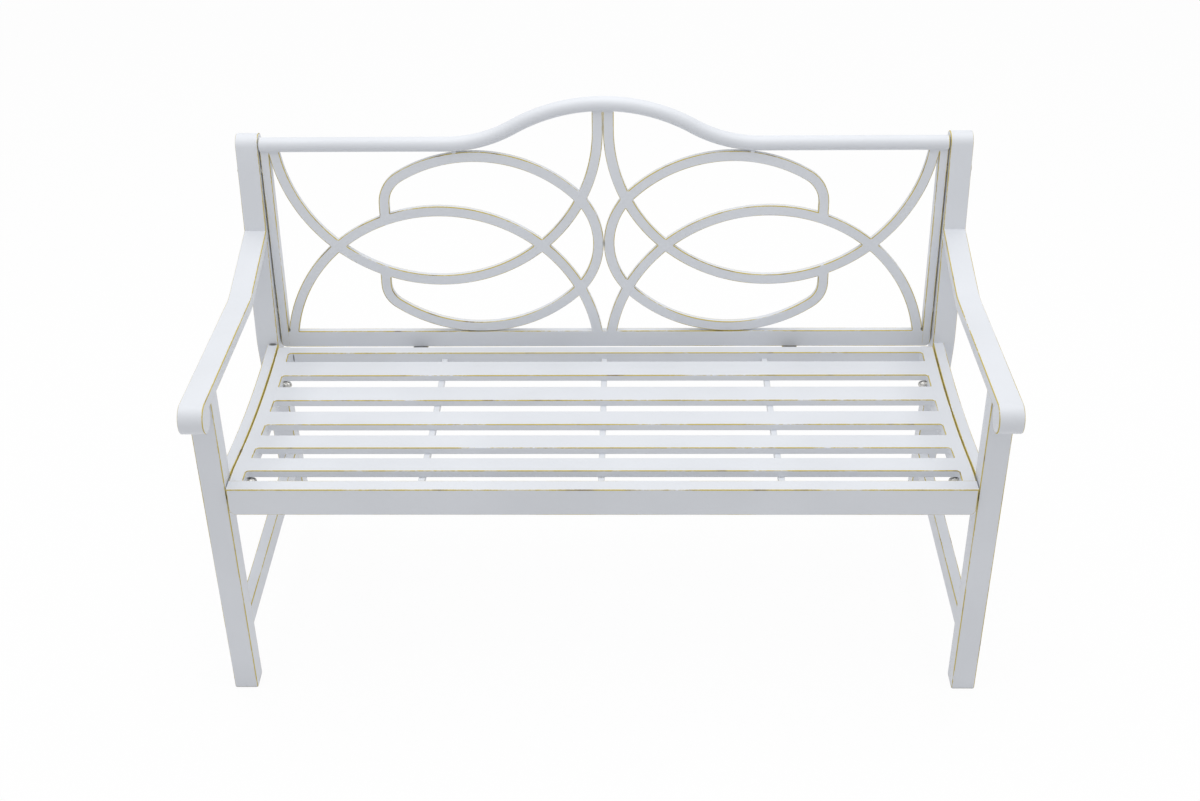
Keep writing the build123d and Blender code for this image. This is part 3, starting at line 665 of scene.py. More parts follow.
# Front rail: a long rectangle with rounded lower corners
def frontRailOutline():
    top, low, corner = seat["crest"], seat["crest"] - seat["frontRail"][1], seat["frontCorner"]
    right = lowerCorner(low, corner)
    upper = runLine((panelX, top), (-panelX, top), seat["frontStep"])
    lower = runLine((corner - panelX, low), (panelX - corner, low), seat["frontStep"])[1:-1]
    return np.concatenate([upper, right[::-1] * (-1, 1), lower, right])


frontRail = slab(frontRailOutline(), frontView, (seatFront, crestY), seat["frontEdge"])
makePiece("seatFrontRail", [frontRail], "frame_paint", "seat_front_rail")


# Cross bar: a profile carried across the seat and let into the side rails' rounded edges; near each end its
# front edge runs out along a quarter circle, as the weld rounds the corner of the slot
def crossBar(middle, way, up, profile):
    corner, turn = seat["slotCorner"], np.linspace(0, pi / 2, seat["slotSteps"])
    near = np.concatenate([[slatHalf + seatEdge], slatHalf - corner * (1 - np.cos(turn))])
    flare = np.concatenate([[corner], corner * (1 - np.sin(turn))])
    inner = np.linspace(-1, 1, seat["barSteps"])[1:-1] * (slatHalf - corner)
    x = np.concatenate([-near, inner, near[::-1]])
    flare = np.concatenate([flare, 0 * inner, flare[::-1]])
    reach = profile["points"][:, 0] - flare[:, None] * (profile["points"][:, 0] < 0)
    grid = np.asarray(middle) + x[:, None, None] * (1, 0, 0) + reach[..., None] * way
    grid = grid + profile["points"][:, 1, None] * up
    frontGold, rearGold, lowGold = seat["barGold"]
    ahead, below = profile["facing"].T < 0
    keep = np.where(below, lowGold, np.where(ahead, frontGold, rearGold))
    return shell(grid, profile["edge"], keep)


slatProfile = roundedProfile(*seat["slat"], seatEdge)
for number, y in enumerate(slatPlaces, start=1):
    height, slope = seatLine(y)
    way, up = seatWays(slope)
    middle = np.array([0, y, height]) - up * (slatThick / 2 + flush)
    makePiece(f"slat{number}", [crossBar(middle, way, up, slatProfile)], "frame_paint", f"slat_{number}")
rearRailTop = seatLine(rearRailY)[0]
rearRailLow = rearRailTop - seat["rearRail"][1]
rearRail = crossBar((0, rearRailY, (rearRailTop + rearRailLow) / 2 - flush), np.array([0.0, 1, 0]),
                    np.array([0.0, 0, 1]), roundedProfile(*seat["rearRail"], seatEdge))
makePiece("seatRearRail", [rearRail], "frame_paint", "seat_rear_rail")
supportProfile = roundedProfile(seat["supportBar"], seat["supportBar"], seat["supportEdge"])
supportDrop = slatThick - seat["supportBite"]
for side, x in (("Left", -seat["supportSpacing"]), ("Middle", 0.0), ("Right", seat["supportSpacing"])):
    bar = seatBand(x, supportProfile, supportDrop, crestY - bite / 2, rearRailY)
    bar = withGold(bar, seat["supportGold"])
    makePiece("supportBar" + side, [bar], "frame_paint", "support_bar_" + side.lower())
print("seat: rails, slats and support bars")

# Back panel, drawn in its own plane: u along X, w up the panel, depth behind its face

back = dict(
    rise=0.0153, recess=0.018, lean=4.0,  # foot above the rear rail's underside, face behind the posts'
    bottomRail=(0.031, 0.012), stile=(0.015, 0.020), stileCorner=0.009,
    topRail=0.025, topRailRise=0.3815,  # round tube; its middle above the panel's foot
    crownRise=0.070, crownHalf=0.265, crownRadius=0.307,  # its height, half its width, its round
    bar=(0.018, 0.010), stileBite=0.003,  # scroll bars, width and depth; their run into the stile
    centreGap=0.0006,  # between left and right scrolls
    archReach=0.061, hammockReach=0.0685,  # arch's top above mid height, hammock's foot below it
    ovalApex=0.220, ovalEase=0.0345,  # highest place along X; half the height less the nose's radius
    ovalCorner=(0.058, 0.045),  # upper and lower radius
    ovalUpper=0.1565, ovalLower=0.163,  # legs beyond the apex
    lug=(0.009, 0.007, 0.0096), lugOffset=0.032, lugDrop=0.0015,  # beyond the apex, below the top rail
    lugSquare=0.55, lugSteps=(15, 24),  # power that squares its round; rings and points round it
    edgeRadius=0.0012, topEdge=0.002,  # flat bars; ends of the round tube
    step=0.0030, topSteps=36, bottomSteps=160,  # along the lines; round the tube; along the bottom rail
    seamWidth=0.0026, ovalSeam=0.9,  # painted shade beside the rails, its reach and its share on the ovals
    cornerGold=0.5, cornerReach=0.006,  # gold gathered beside other pieces
    layers=dict(arch=0, hammock=1, oval=2, bottomRail=3, stile=4))  # flush steps from the face backwards
tilt = radians(back["lean"])
panelUp, panelIn = np.array([0, sin(tilt), cos(tilt)]), np.array([0, cos(tilt), -sin(tilt)])
panelOrigin = np.array([0, bendY - leg / 2 + back["recess"], rearRailLow + back["rise"]])
barWidth, barDepth = back["bar"]
stileInner = panelX - back["stile"][0]
topRadius, topRise = back["topRail"] / 2, back["topRailRise"]
openLow, openHigh = back["bottomRail"][0], topRise - topRadius
openMid = (openLow + openHigh) / 2
barMiddle = back["centreGap"] / 2 + barWidth / 2
scrollRadius = (stileInner + back["stileBite"] - barWidth / 2 - barMiddle) / 2
scrollCentre = barMiddle + scrollRadius
backEdge, backStep = back["edgeRadius"], back["step"]


# Places (u, w) at a depth behind the panel's face: origin + u * X + w * panelUp + depth * panelIn
def panelView(flat, depth):
    depth = np.broadcast_to(depth, flat.shape[:-1])[..., None]
    return panelOrigin + flat[..., :1] * (1, 0, 0) + flat[..., 1:] * panelUp + depth * panelIn


# Line of the top rail: straight ends, two hollow shoulders and the crown, each arc turning by the same
# angle
def crownedLine():
    half, rise, radius = back["crownHalf"], back["crownRise"], back["crownRadius"]
    turn = 2 * atan(rise / half)
    hollow = half / sin(turn) - radius
    turn = np.degrees(turn)
    return joined(
        runLine((-panelX, topRise), (-half, topRise), backStep),
        arcLine((-half, topRise + hollow), hollow, -90, turn - 90, backStep),
        arcLine((0, topRise + rise - radius), radius, 90 + turn, 90 - turn, backStep),
        arcLine((half, topRise + hollow), hollow, -90 - turn, -90, backStep),
        runLine((half, topRise), (panelX, topRise), backStep))


# Arch: the part of a circle that stands on the bottom rail
def archPath():
    middle = openMid - scrollRadius + back["archReach"]
    foot = np.degrees(asin((openLow - 2 * bite - middle) / scrollRadius))
    return arcLine((scrollCentre, middle), scrollRadius, 180 - foot, foot, backStep)


# Hammock: the part of a circle hung from the top rail, with a straight leg up to the crown
def hammockPath():
    middle = openMid + scrollRadius - back["hammockReach"]
    start = np.degrees(asin((topRise - middle) / scrollRadius))
    return joined(arcLine((scrollCentre, middle), scrollRadius, start, -180, backStep),
                  runLine((barMiddle, middle), (barMiddle, topRise + back["crownRise"]), backStep))


# Sag of an arch or hammock at u: radius less the root of (radius squared less distance squared)
def scrollSag(u):
    return scrollRadius - sqrt(scrollRadius**2 - (u - scrollCentre) ** 2)


# Oval: straight leg, tight corner, long arc, round nose, and the same again below, as one open line; each
# arc's centre lies on the line through the next centre and the point where they touch
def ovalPath():
    apex, ease, corner = back["ovalApex"], back["ovalEase"], np.array(back["ovalCorner"])
    halfHigh = openHigh - openMid - barWidth / 2
    nose, reach = halfHigh - ease, apex - barMiddle
    longRadius = (reach**2 + halfHigh**2 - 2 * reach * nose) / (2 * ease)
    longDrop = longRadius - halfHigh
    noseTurn = np.degrees(atan2(longDrop, barMiddle + nose - apex))
    legs = apex + np.array([back["ovalUpper"], back["ovalLower"]])
    run = legs - apex - corner
    rise = np.sqrt((longRadius - corner) ** 2 - run**2)
    (upperU, lowerU), (upperW, lowerW) = apex + run, rise - longDrop
    upperTurn, lowerTurn = np.degrees(np.arctan2(rise, run))
    upperEnd = openMid + back["archReach"] - scrollSag(legs[0])
    lowerEnd = openMid - back["hammockReach"] + scrollSag(legs[1])
    return joined(
        runLine((legs[0], upperEnd), (legs[0], openMid + upperW), backStep),
        arcLine((upperU, openMid + upperW), corner[0], 0, upperTurn, backStep),
        arcLine((apex, openMid - longDrop), longRadius, upperTurn, noseTurn, backStep),
        arcLine((barMiddle + nose, openMid), nose, noseTurn, 360 - noseTurn, backStep),
        arcLine((apex, openMid + longDrop), longRadius, -noseTurn, -lowerTurn, backStep),
        arcLine((lowerU, openMid - lowerW), corner[1], -lowerTurn, 0, backStep),
        runLine((legs[1], openMid - lowerW), (legs[1], lowerEnd), backStep))


topLine, archLine, hammockLine, ovalLine = crownedLine(), archPath(), hammockPath(), ovalPath()


# Least distance from points to a line: root of the least squared distance, in blocks to spare memory
def awayFrom(points, line):
    blocks = np.array_split(points, max(1, len(points) // shaping["block"]))
    return np.concatenate([np.sqrt(((block[:, None] - line) ** 2).sum(-1).min(1)) for block in blocks])


# Closeness of a seam: 1 where two pieces touch, falling to 0 at the seam's width
def closeness(clear):
    return np.clip(1 - np.maximum(clear, 0) / back["seamWidth"], 0, 1)


# Flat bar along a panel line; its gold stops inside the bars, rails and stile that it meets and gathers in
# the corners beside them; seam is the share of painted shade left where it lies along a rail
def panelBar(line, layer, others, seam=0.0):
    side = leftOf(directions(line))[:, None]
    profile = roundedProfile(barWidth, barDepth, backEdge)
    flat = line[:, None] + side * profile["points"][:, :1]
    points = flat.reshape(-1, 2)
    rails = np.minimum(awayFrom(points, topLine) - topRadius, points[:, 1] - openLow)
    clear = np.minimum.reduce([awayFrom(points, other) - barWidth / 2 for other in others]
                              + [rails, stileInner - abs(points[:, 0])])
    gather = 1 + back["cornerGold"] * np.exp(-np.maximum(clear, 0) / back["cornerReach"])
    keep = (stopGold(clear) * gather).reshape(flat.shape[:2])
    keep = keep * goldShare(side[..., 1] * profile["facing"][:, 0])
    depth = back["layers"][layer] * flush + barDepth / 2 + profile["points"][:, 1]
    # Painted shade along the rails where the bar lies close to them
    return dict(shell(panelView(flat, depth), profile["edge"], keep), gapShade=closeness(rails) * seam)


makePair("archBar", "arch_bar", [panelBar(archLine, "arch", [hammockLine, ovalLine])])
makePair("hammockBar", "hammock_bar", [panelBar(hammockLine, "hammock", [archLine, ovalLine])])
makePair("ovalBar", "oval_bar", [panelBar(ovalLine, "oval", [archLine, hammockLine], back["ovalSeam"])])

# Top rail: a round tube along its crowned line
side = leftOf(directions(topLine))
across = side[:, :1] * (1, 0, 0) + side[:, 1:] * panelUp
topRail = swept(panelView(topLine, barDepth / 2), across, np.repeat(panelIn[None], len(topLine), 0),
                circleProfile(topRadius, back["topSteps"]), (back["topEdge"], back["topEdge"]))
makePiece("backTopRail", [topRail], "frame_paint", "back_top_rail")


# Rail edges lose their gold under the feet of the bars that stand on them and get painted shade beside the
# ovals
def underFeet(part):
    local = part["verts"] - panelOrigin
    flat = np.stack([abs(local[:, 0]), local @ panelUp], 1)
    clear = [awayFrom(flat, line) - barWidth / 2 for line in (ovalLine, archLine, hammockLine)]
    # Painted shade on the rail's edges beside the ovals' feet
    seam = closeness(clear[0]) * (part["edge"] < 2 * shaping["support"])
    return dict(withGold(part, stopGold(np.minimum.reduce(clear))), gapShade=seam)


# Bottom rail: a straight flat tube between the stiles
bottomHigh, bottomDeep = back["bottomRail"]
railEnds = np.array([[-1, 0], [1, 0]]) * (stileInner + bite / 2) + (0, bottomHigh / 2)
railEnds = panelView(railEnds, bottomDeep / 2 + back["layers"]["bottomRail"] * flush)
bottomProfile = roundedProfile(bottomHigh, bottomDeep, backEdge)
bottomRail = straightBar(*railEnds, panelUp, panelIn, bottomProfile, back["bottomSteps"])
makePiece("backBottomRail", [underFeet(bottomRail)], "frame_paint", "back_bottom_rail")


# Stile: a tall rectangle with one rounded lower corner, its top hidden inside the top rail
def stileOutline():
    corner, top = back["stileCorner"], topRise - topRadius / 4
    return joined(lowerCorner(0.0, corner),
                  runLine((panelX, corner), (panelX, top), 2 * backStep),
                  runLine((panelX, top), (stileInner, top), backStep),
                  runLine((stileInner, top), (stileInner, 0), 2 * backStep))


stileDepths = (back["layers"]["stile"] * flush, back["stile"][1])
stile = slab(stileOutline(), panelView, stileDepths, backEdge)
makePair("backStile", "back_stile", [underFeet(stile)])


# Weld lump: a rounded block, each coordinate a power of sine or cosine with its sign
def weldLump(middle, size):
    rows, columns = back["lugSteps"]
    lat = np.linspace(-pi / 2, pi / 2, rows)[1:-1, None]
    lon = np.linspace(0, 2 * pi, columns, endpoint=False)
    waves = (np.cos(lat), np.sin(lat), np.cos(lon), np.sin(lon))
    cosLat, sinLat, cosLon, sinLon = (np.sign(wave) * abs(wave) ** back["lugSquare"] for wave in waves)
    wide, high, deep = np.array(size) / 2
    flat = np.stack([middle[0] + cosLat * cosLon * wide, middle[1] + cosLat * sinLon * high], -1)
    return shell(panelView(flat, barDepth / 2 + sinLat * deep), shaping["noEdge"])


lug = weldLump((back["ovalApex"] + back["lugOffset"], openHigh - back["lugDrop"]), back["lug"])
makePiece("backLugs", bothSides([lug]), "frame_paint", "back_lugs")
print("back: rails, stiles, scroll bars and weld lugs")

# End frames

endFrame = dict(
    noseRadius=0.024, noseSteps=41,  # roll at the front of the armrest
    armNose=0.593, armLow=0.5725, armRear=0.617,  # height of its top at the nose, the bend and the post
    armBendBack=0.316, armBendRadius=0.100,  # bend's place behind the front of the leg
    armStart=2.0, armBite=1.9,  # its line and its corners inside the post, in edge radii
    postCap=0.015, capSteps=25,  # post's top above the middle of the top rail's ends
    postBendRadius=0.120, lean=6.5,  # lean of the posts above their bend
    stretcherTop=0.148, stretcherSteps=48, legSteps=49,
    endRailDrop=0.002, gapFacing=0.9,  # below the seat line; how squarely a face looks to the gap
    edgeRadius=0.0014, step=0.006,
    armRims=(1.2, 0.4), postRims=(1.15, 0.6),  # gold on the inner and the outer edges
    legRims=(1.15, 0.8), railRims=(1.7, 0.7),
    armGold=(1.7, 1.25), legGold=(1.35, 1.05),  # on the right and the left piece
    railGold=(1.3, 1.3))
lean, postBend = radians(endFrame["lean"]), bench["postBend"]
endEdge, endStep = endFrame["edgeRadius"], endFrame["step"]
postEndZ = panelOrigin[2] + topRise * cos(tilt) + endFrame["postCap"] - leg / 2
postEnd = np.array([bendY + (postEndZ - postBend) * tan(lean), postEndZ])
armBend = np.array([legFront + endFrame["armBendBack"], endFrame["armLow"] - railThick / 2])
noseY = legFront - bench["noseReach"] + endFrame["noseRadius"]
armSlope = atan((endFrame["armNose"] - endFrame["armLow"]) / (armBend[0] - noseY))


# Rear post: the bent line offset to both sides by half the tube, its foot cut level, closed by a half
# circle
def postOutline():
    low = np.array([footY - bench["footFlange"] * tan(splay), bench["footFlange"]])
    line = bentLine(low, (bendY, postBend), postEnd, endFrame["postBendRadius"], endStep)
    side = leftOf(directions(line)) * leg / 2
    rear, front = line - side, line + side
    rear[0], front[0] = low + (leg / 2 / cos(splay), 0), low - (leg / 2 / cos(splay), 0)
    start = atan2(*(rear[-1] - postEnd)[::-1])
    cap = onCircle(postEnd, leg / 2, start + np.linspace(0, pi, endFrame["capSteps"])[1:-1])
    return np.concatenate([rear, cap, front[::-1]])


# Armrest: the bent line offset to both sides, its rear end slid along to the post's leaning face, its front
# end carried round the drum of the nose until it meets the underside, root of (radius squared less the
# drum's depth below it squared) behind the drum's middle
def armOutline():
    half, radius = railThick / 2, endFrame["noseRadius"]
    drop = radius - half
    tipY = noseY + drop * sin(armSlope)
    tip = np.array([tipY, armBend[1] + (armBend[0] - tipY) * tan(armSlope)])
    rearZ = endFrame["armRear"] - half
    hold = np.array([bendY + (rearZ - postBend) * tan(lean), rearZ])
    rear = hold + (armBend - hold) * (leg / 2 - endFrame["armStart"] * endEdge) / (hold[0] - armBend[0])
    line = bentLine(rear, armBend, tip, endFrame["armBendRadius"], endStep)
    ways = directions(line)
    side = leftOf(ways) * half
    top, under = line - side, line + side
    ends = np.stack([top[0], under[0]])
    inPost = bendY + (ends[:, 1] - postBend) * tan(lean) - leg / 2 / cos(lean)
    inPost = inPost + endFrame["armBite"] * endEdge
    slide = (inPost - ends[:, 0]) / (ways[0, 0] - ways[0, 1] * tan(lean))
    top[0], under[0] = ends + slide[:, None] * ways[0]
    drum = np.array([noseY, tip[1] - drop * cos(armSlope)])
    below = radius - railThick
    inner = drum - ways[-1] * sqrt(radius**2 - below**2) - leftOf(ways[-1]) * below
    start, finish = (atan2(*(point - drum)[::-1]) for point in (top[-1], inner))
    turn = np.linspace(0, (finish - start) % (2 * pi), endFrame["noseSteps"])
    roll = onCircle(drum, radius, start + turn)
    return np.concatenate([top[:-1], roll, under[under[:, 0] > inner[0] + bite][::-1]])


# Front leg: a square ring carried up, each of its points ending in the armrest's underside
def legShell():
    profile = roundedProfile(leg, leg, endEdge)
    x = innerX + leg / 2 + profile["points"][:, 0]
    y = legFront + leg / 2 + profile["points"][:, 1]
    top = armBend[1] + (armBend[0] - y) * tan(armSlope) - railThick / 2 / cos(armSlope) + bite / 2
    share = np.linspace(0, 1, endFrame["legSteps"])[:, None]
    z = bench["footFlange"] + (top - bench["footFlange"]) * share
    keep = np.where(profile["facing"][:, 0] < 0, *endFrame["legRims"])
    return shell(np.stack([x + 0 * z, y + 0 * z, z], -1), profile["edge"], keep)


# Flat tubes between leg and post, set back by a hair from the inner faces of both; the end rail's gold runs
# down into the gap beside the seat
railProfile = roundedProfile(railThick, railHigh, endEdge)
railX = innerX + railThick / 2 + 2 * flush
stretchZ = endFrame["stretcherTop"] - railHigh / 2
stretchEnd = footY - (stretchZ + railHigh / 2) * tan(splay) - leg / 2 / cos(splay) + 4 * bite
stretcher = straightBar((railX, legBack - bite, stretchZ), (railX, stretchEnd, stretchZ),
                        (1, 0, 0), (0, 0, 1), railProfile, endFrame["stretcherSteps"])
toGap = (railProfile["normals"][:, 0] < -endFrame["gapFacing"]) & (railProfile["points"][:, 1] > 0)
gapProfile = dict(railProfile, edge=np.where(toGap, 0, railProfile["edge"]))
endRail = seatBand(railX, gapProfile, endFrame["endRailDrop"], legBack - bite, bendY - leg / 4)
endRail = withGold(endRail, np.where(endRail["verts"][:, 0] < railX, *endFrame["railRims"]))
sides = (innerX, outerX)
armrest = slab(armOutline(), sideView, sides, endEdge, endFrame["armRims"])
rearPost = slab(postOutline(), sideView, sides, endEdge, endFrame["postRims"])
makePair("armrest", "armrest", [armrest], endFrame["armGold"])
makePair("rearPost", "rear_post", [rearPost])
makePair("frontLeg", "front_leg", [legShell()], endFrame["legGold"])
makePair("stretcher", "stretcher", [stretcher])
makePair("endRail", "end_rail", [endRail], endFrame["railGold"])
print("end frames: legs, posts, armrests, end rails and stretchers")

# Fasteners and feet

fastener = dict(
    bolt=0.008, clearance=0.0004, chamfer=0.0004,  # shank, play of a ring on it, broken edges
    head=(0.015, 0.003), screwHead=(0.0105, 0.0033),  # button heads, diameter and height
    washer=0.016, washerThick=0.0016,
    nut=0.013, nutHigh=0.0065, dome=0.006,  # cap nut: across flats, its base, its dome
    insert=0.011, insertLong=0.012,
    seatFront=0.010, seatRear=0.085, seatClear=0.001,  # behind the leg, ahead of the rear, below the slats
    backLow=0.070, backDrop=0.047,  # above the panel's foot, below the top rail
    # bracketShade: painted shade over the whole bracket, which sits in shadow
    bracketSpacing=0.330, bracketWide=0.026, bracketThick=0.003, bracketEdge=0.0006, bracketShade=0.75,
    steps=48)  # points round a turned piece
# Shapes as shares of a head's diameter and height, and of a nut's half width, height and dome
button = dict(
    socket=0.17, lip=0.012, socketHigh=(0.35, 0.95),  # half width, flare at the top, floor and flare
    crown=0.4, rim=0.14, power=0.8, turnFrom=0.25, turnSteps=9,  # dome from the crown to its rim
    base=0.485, baseHigh=0.06)
capShape = dict(
    corner=1.06, shoulder=0.99, levels=(0.0, 0.08, 0.86, 0.95, 1.0),  # radii and heights of the base
    domeSteps=12, tip=(0.07, 0.998))  # radius and height where the dome closes
fullTurn = np.linspace(0, 2 * pi, fastener["steps"], endpoint=False)


# Radius of a hexagon all round: half its width across flats over the cosine of the angle from the
# middle of a flat
def hexagon(halfFlat):
    return halfFlat / np.cos((fullTurn + pi / 6) % (pi / 3) - pi / 6)


# Turned shape: rings of radius and height about an axis; point = place + axis * height + radius * (cosine,
# sine); a radius is one number or a row of them all round
def turned(place, axis, radii, heights, loop=False):
    axis = np.asarray(axis, float)
    first = np.roll(axis, 1)
    spoke = np.cos(fullTurn)[:, None] * first + np.sin(fullTurn)[:, None] * np.cross(axis, first)
    rings = np.stack([0 * fullTurn + radius for radius in radii])
    grid = np.asarray(place) + rings[..., None] * spoke + np.asarray(heights)[:, None, None] * axis
    return shell(grid, shaping["noEdge"], loop=loop)


# Button head: a low dome, radius by sine and height by a power of cosine, and a six-sided socket in it
def buttonHead(place, axis, diameter, high):
    turn = np.linspace(button["turnFrom"], pi / 2, button["turnSteps"])
    domeRadii = diameter / 2 * (button["crown"] + (1 - button["crown"]) * np.sin(turn))
    domeHeights = high * ((1 - button["rim"]) * np.cos(turn) ** button["power"] + button["rim"])
    socket, lip = hexagon(diameter * button["socket"]), diameter * button["lip"]
    radii = [socket, socket, socket + lip, *domeRadii, diameter / 2, diameter * button["base"]]
    floor, flare = button["socketHigh"]
    heights = [high * floor, high * flare, high, *domeHeights, high * button["baseHigh"], 0.0]
    return turned(place, axis, radii, heights)


# Shank: a round rod with broken ends
def shank(place, axis, length):
    radius, chamfer = fastener["bolt"] / 2, fastener["chamfer"]
    return turned(place, axis, [radius - chamfer, radius, radius, radius - chamfer],
                  [0, chamfer, length - chamfer, length])


# Ring: a washer with broken outer corners, turned about its axis as a closed loop
def ring(place, axis, diameter, thick):
    outer, inner = diameter / 2, (fastener["bolt"] + fastener["clearance"]) / 2
    chamfer = min(thick / 5, fastener["chamfer"])
    radii = [inner, inner, outer - chamfer, outer, outer, outer - chamfer]
    return turned(place, axis, radii, [0, thick, thick, thick - chamfer, chamfer, 0], loop=True)


# Cap nut: a six-sided base with its corners turned down, a shoulder and a half-round dome
def capNut(place, axis):
    half, high, dome = fastener["nut"] / 2, fastener["nutHigh"], fastener["dome"]
    turn = np.linspace(0, pi / 2, capShape["domeSteps"])[:-1]
    flats = hexagon(half)
    cut = np.minimum(flats, half * capShape["corner"])
    tipRadius, tipHigh = np.array(capShape["tip"]) * dome
    radii = [cut, flats, flats, cut, half * capShape["shoulder"], *(dome * np.cos(turn)), tipRadius]
    heights = [*(high * np.array(capShape["levels"])), *(high + dome * np.sin(turn)), high + tipHigh]
    return turned(place, axis, radii, heights)


# One shell at each place (y, z), all at the same x
def atPlaces(make, x, places, *sizes):
    return [make((x, *place), *sizes) for place in places]


# Steel pieces of the same kind on both sides of the bench, as one piece
def makeSteel(name, node, shells):
    makePiece(name, bothSides(shells), "fastener_metal", node)


boltDrop = slatThick + fastener["washer"] / 2 + fastener["seatClear"]
boltRows = (legBack + fastener["seatFront"], seatRear - fastener["seatRear"])
seatBolts = [(y, seatLine(y)[0] - boltDrop) for y in boltRows]
boltRises = (fastener["backLow"], topRise - fastener["backDrop"])
backBolts = [panelView(np.array([0.0, rise]), back["stile"][1] / 2)[1:] for rise in boltRises]
outward, inward = (1, 0, 0), (-1, 0, 0)
railOuterX, nutX = innerX + railThick, slatHalf - fastener["washerThick"]
insertEnd = panelX - fastener["insertLong"] / 2
heads = atPlaces(buttonHead, railOuterX, seatBolts, outward, *fastener["head"])
shanks = atPlaces(shank, nutX - bite, seatBolts, outward, railOuterX - nutX + bite)
makeSteel("seatBolts", "seat_bolts", heads + shanks)
heads = atPlaces(buttonHead, outerX, backBolts, outward, *fastener["head"])
shanks = atPlaces(shank, insertEnd, backBolts, outward, outerX - insertEnd)
makeSteel("backBolts", "back_bolts", heads + shanks)
spacer = (outward, fastener["washer"], bench["panelGap"])
makeSteel("seatSpacers", "seat_spacers", atPlaces(ring, panelX, seatBolts, *spacer))
makeSteel("backSpacers", "back_spacers", atPlaces(ring, panelX, backBolts, *spacer))
washer = (inward, fastener["washer"], fastener["washerThick"])
makeSteel("seatWashers", "seat_washers", atPlaces(ring, slatHalf, seatBolts, *washer))
makeSteel("seatCapNuts", "seat_cap_nuts", atPlaces(capNut, nutX, seatBolts, inward))
insert = (inward, fastener["insert"], fastener["insertLong"])
makeSteel("backInserts", "back_inserts", atPlaces(ring, panelX, backBolts, *insert))


# Angle bracket: an L outline from the seat's rear rail to the underside of the back's bottom rail
def bracketOutline():
    thick, (faceY, high) = fastener["bracketThick"], panelOrigin[1:]
    rear = panelView(np.array([0.0, 0.0]), bottomDeep)
    return np.array([(seatRear, high), (seatRear, rearRailLow), (seatRear + thick, rearRailLow),
                     (seatRear + thick, high - thick), (rear[1], high - thick), (rear[1], rear[2]),
                     (faceY, high)])


bracketX, bracketHalf = fastener["bracketSpacing"], fastener["bracketWide"] / 2
bracketSides = (bracketX - bracketHalf, bracketX + bracketHalf)
bracket = slab(bracketOutline(), sideView, bracketSides, fastener["bracketEdge"])
# Painted shade over the whole bracket, which sits in shadow between the seat and the back
bracket = dict(bracket, gapShade=np.full(len(bracket["verts"]), fastener["bracketShade"]))
makePiece("backBrackets", bothSides([bracket]), "frame_paint", "back_brackets")
screwPlace = (bracketX, seatRear + fastener["bracketThick"],
              (panelOrigin[2] - fastener["bracketThick"] + rearRailLow) / 2)
screw = buttonHead(screwPlace, (0, 1, 0), *fastener["screwHead"])
makeSteel("bracketScrews", "bracket_screws", [screw])

foot = dict(
    corner=0.0030, soft=0.0005, hollow=0.0009,  # corners seen from above, rounding of the rim, hollow
    insets=(0.0080, 0.0072, 0.0060, 0.0005, 0.0, 0.0, 0.0004))  # of the rings, from the hollow outwards


# Foot: a rounded square under the tube end, its rings shrunk by the insets, with a hollow underneath
def footShell(y, stretch):
    profile = roundedProfile(leg, leg * stretch, foot["corner"])
    flange, soft = bench["footFlange"], foot["soft"]
    heights = np.array([foot["hollow"], foot["hollow"], 0, 0, soft, flange - soft, flange])
    outline = np.stack([shrunkProfile(profile, inset) for inset in foot["insets"]])
    grid = np.array([innerX + leg / 2, y, 0]) + np.pad(outline, ((0, 0), (0, 0), (0, 1)))
    return shell(grid + heights[:, None, None] * (0, 0, 1), shaping["noEdge"])


feet = [footShell(legFront + leg / 2, 1.0),
        footShell(footY - bench["footFlange"] * tan(splay), 1 / cos(splay))]
makePiece("footPlugs", bothSides(feet), "foot_plastic", "foot_plugs")
print("fasteners: bolts, nuts, washers, brackets and feet")

# Stage: white floor and background, overhead soft light with an even fill

studio = dict(
    fill=0.616, lamp=43.0, lampSize=(3.6, 2.6),  # even light; power and size of the lamp
    lampPlace=(0.0, 0.1, 2.9), lampAim=(0.0, 0.0, 0.4),
    floorSize=9.0, floorDrop=0.0003,  # half its side; its depth below the feet
    floorTone=(0.86, 0.86, 0.87), floorShade=0.06)  # tone for bounced light; share that shows shadow
white = (1.0, 1.0, 1.0)


# Share of rays that look at a thing directly, in a mirror or through glass: the largest of the three flags
def seenRays(tree):
    rays = addNode(tree, "ShaderNodeLightPath").outputs
    indirect = calc(tree, "MAXIMUM", rays["Is Glossy Ray"], rays["Is Transmission Ray"])
    return calc(tree, "MAXIMUM", rays["Is Camera Ray"], indirect)


# Floor: rays that see it find plain white with a share of the lit floor, which keeps the shadow; light that
# bounces finds the lit floor alone
def floorMaterial():
    material = bpy.data.materials.new("floorWhite")
    material.use_nodes = True
    tree = material.node_tree
    tree.nodes.remove(tree.nodes["Principled BSDF"])
    seen = seenRays(tree)
    tone = blendColour(tree, seen, studio["floorTone"], white)
    lit = addNode(tree, "ShaderNodeBsdfDiffuse", Color=tone).outputs[0]
    glow = addNode(tree, "ShaderNodeEmission", Color=(*white, 1.0), Strength=1.0).outputs[0]
    cover = calc(tree, "MULTIPLY", seen, 1 - studio["floorShade"])
    mix = addNode(tree, "ShaderNodeMixShader", Fac=cover)
    tree.links.new(lit, mix.inputs[1])
    tree.links.new(glow, mix.inputs[2])
    tree.links.new(mix.outputs[0], tree.nodes["Material Output"].inputs["Surface"])
    return material


reach, low = studio["floorSize"], -studio["floorDrop"]
floorCorners = [(x * reach, y * reach, low) for x, y in ((-1, -1), (1, -1), (1, 1), (-1, 1))]
floorMesh = bpy.data.meshes.new("floor")
floorMesh.from_pydata(floorCorners, [], [(0, 1, 2, 3)])
floorMesh.materials.append(floorMaterial())
floor = bpy.data.objects.new("floor", floorMesh)
bpy.context.scene.collection.objects.link(floor)

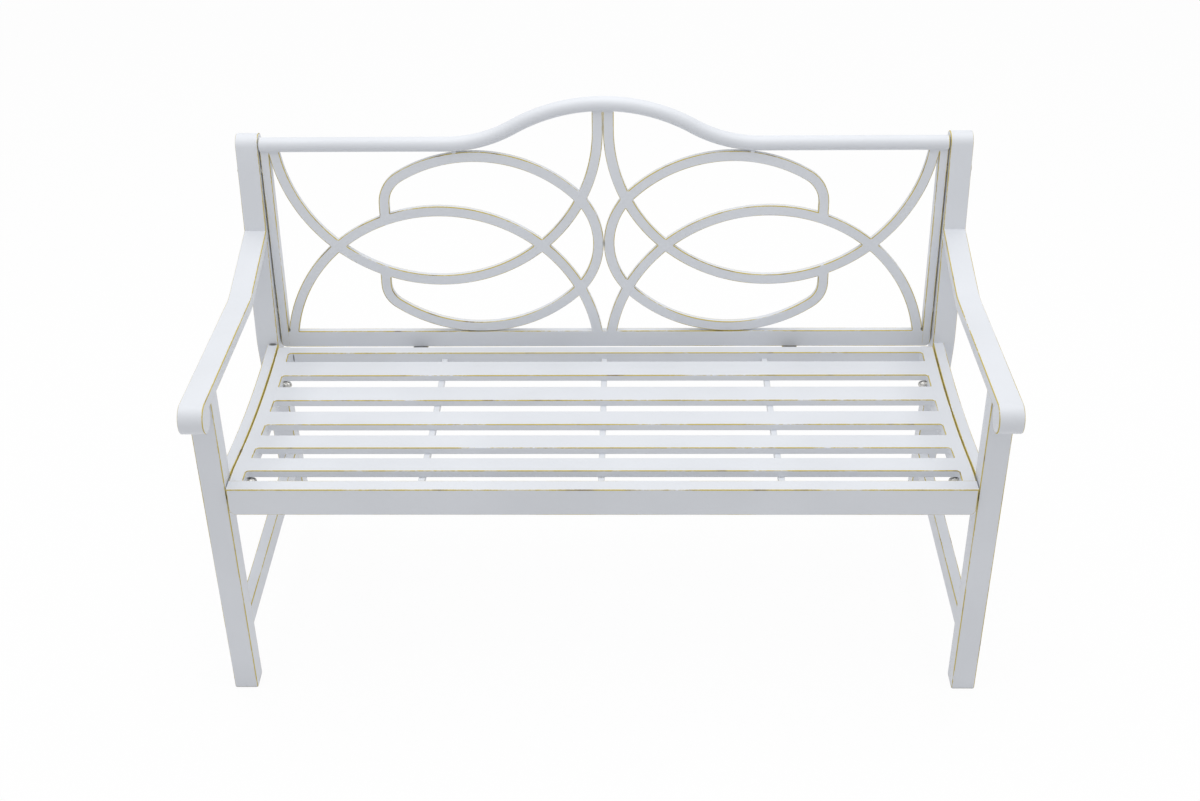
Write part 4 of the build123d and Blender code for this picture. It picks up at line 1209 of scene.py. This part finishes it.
# Background: white to rays that see it, a dimmer even fill to light that bounces
world = bpy.data.worlds.new("studio")
world.use_nodes = True
bpy.context.scene.world = world
sky, background = world.node_tree, world.node_tree.nodes["Background"].inputs
background["Color"].default_value = (*white, 1.0)
glow = calc(sky, "MULTIPLY_ADD", seenRays(sky), 1 - studio["fill"], studio["fill"])
sky.links.new(glow, background["Strength"])

# Lamp: a soft rectangle overhead, turned from straight down toward its aim
lampData = bpy.data.lights.new("softTop", "AREA")
lampData.shape, lampData.energy = "RECTANGLE", studio["lamp"]
lampData.size, lampData.size_y = studio["lampSize"]
lamp = bpy.data.objects.new("softTop", lampData)
lamp.location = studio["lampPlace"]
toward = np.subtract(studio["lampAim"], studio["lampPlace"])
lamp.rotation_euler = (atan2(np.hypot(*toward[:2]), -toward[2]), 0, atan2(toward[1], toward[0]) - pi / 2)
bpy.context.scene.collection.objects.link(lamp)

# Camera: focal length in pixels of the frame's width, turned by yaw, pitch and roll in degrees
view = dict(
    focal=1659.37, frameWidth=1200, sensor=36.0,
    yaw=-1.2121, pitch=33.2523, roll=-0.7212,
    place=(0.04401, -2.30934, 1.93183))
yaw, pitch, roll = (radians(view[key]) for key in ("yaw", "pitch", "roll"))
forward = np.array([sin(yaw) * cos(pitch), cos(yaw) * cos(pitch), -sin(pitch)])
level = np.array([cos(yaw), -sin(yaw), 0])
upward = np.cross(level, forward)
pose = np.eye(4)
pose[:3, 0], pose[:3, 1] = cos(roll) * level + sin(roll) * upward, cos(roll) * upward - sin(roll) * level
pose[:3, 2], pose[:3, 3] = -forward, view["place"]
lens = bpy.data.cameras.new("photoView")
lens.sensor_fit, lens.sensor_width = "HORIZONTAL", view["sensor"]
lens.lens = view["focal"] * view["sensor"] / view["frameWidth"]
camera = bpy.data.objects.new("photoView", lens)
camera.matrix_world = Matrix(pose.tolist())
bpy.context.scene.collection.objects.link(camera)
bpy.context.scene.camera = camera
bpy.context.scene.view_settings.view_transform = "Standard"
print("stage: floor, lamp and camera")
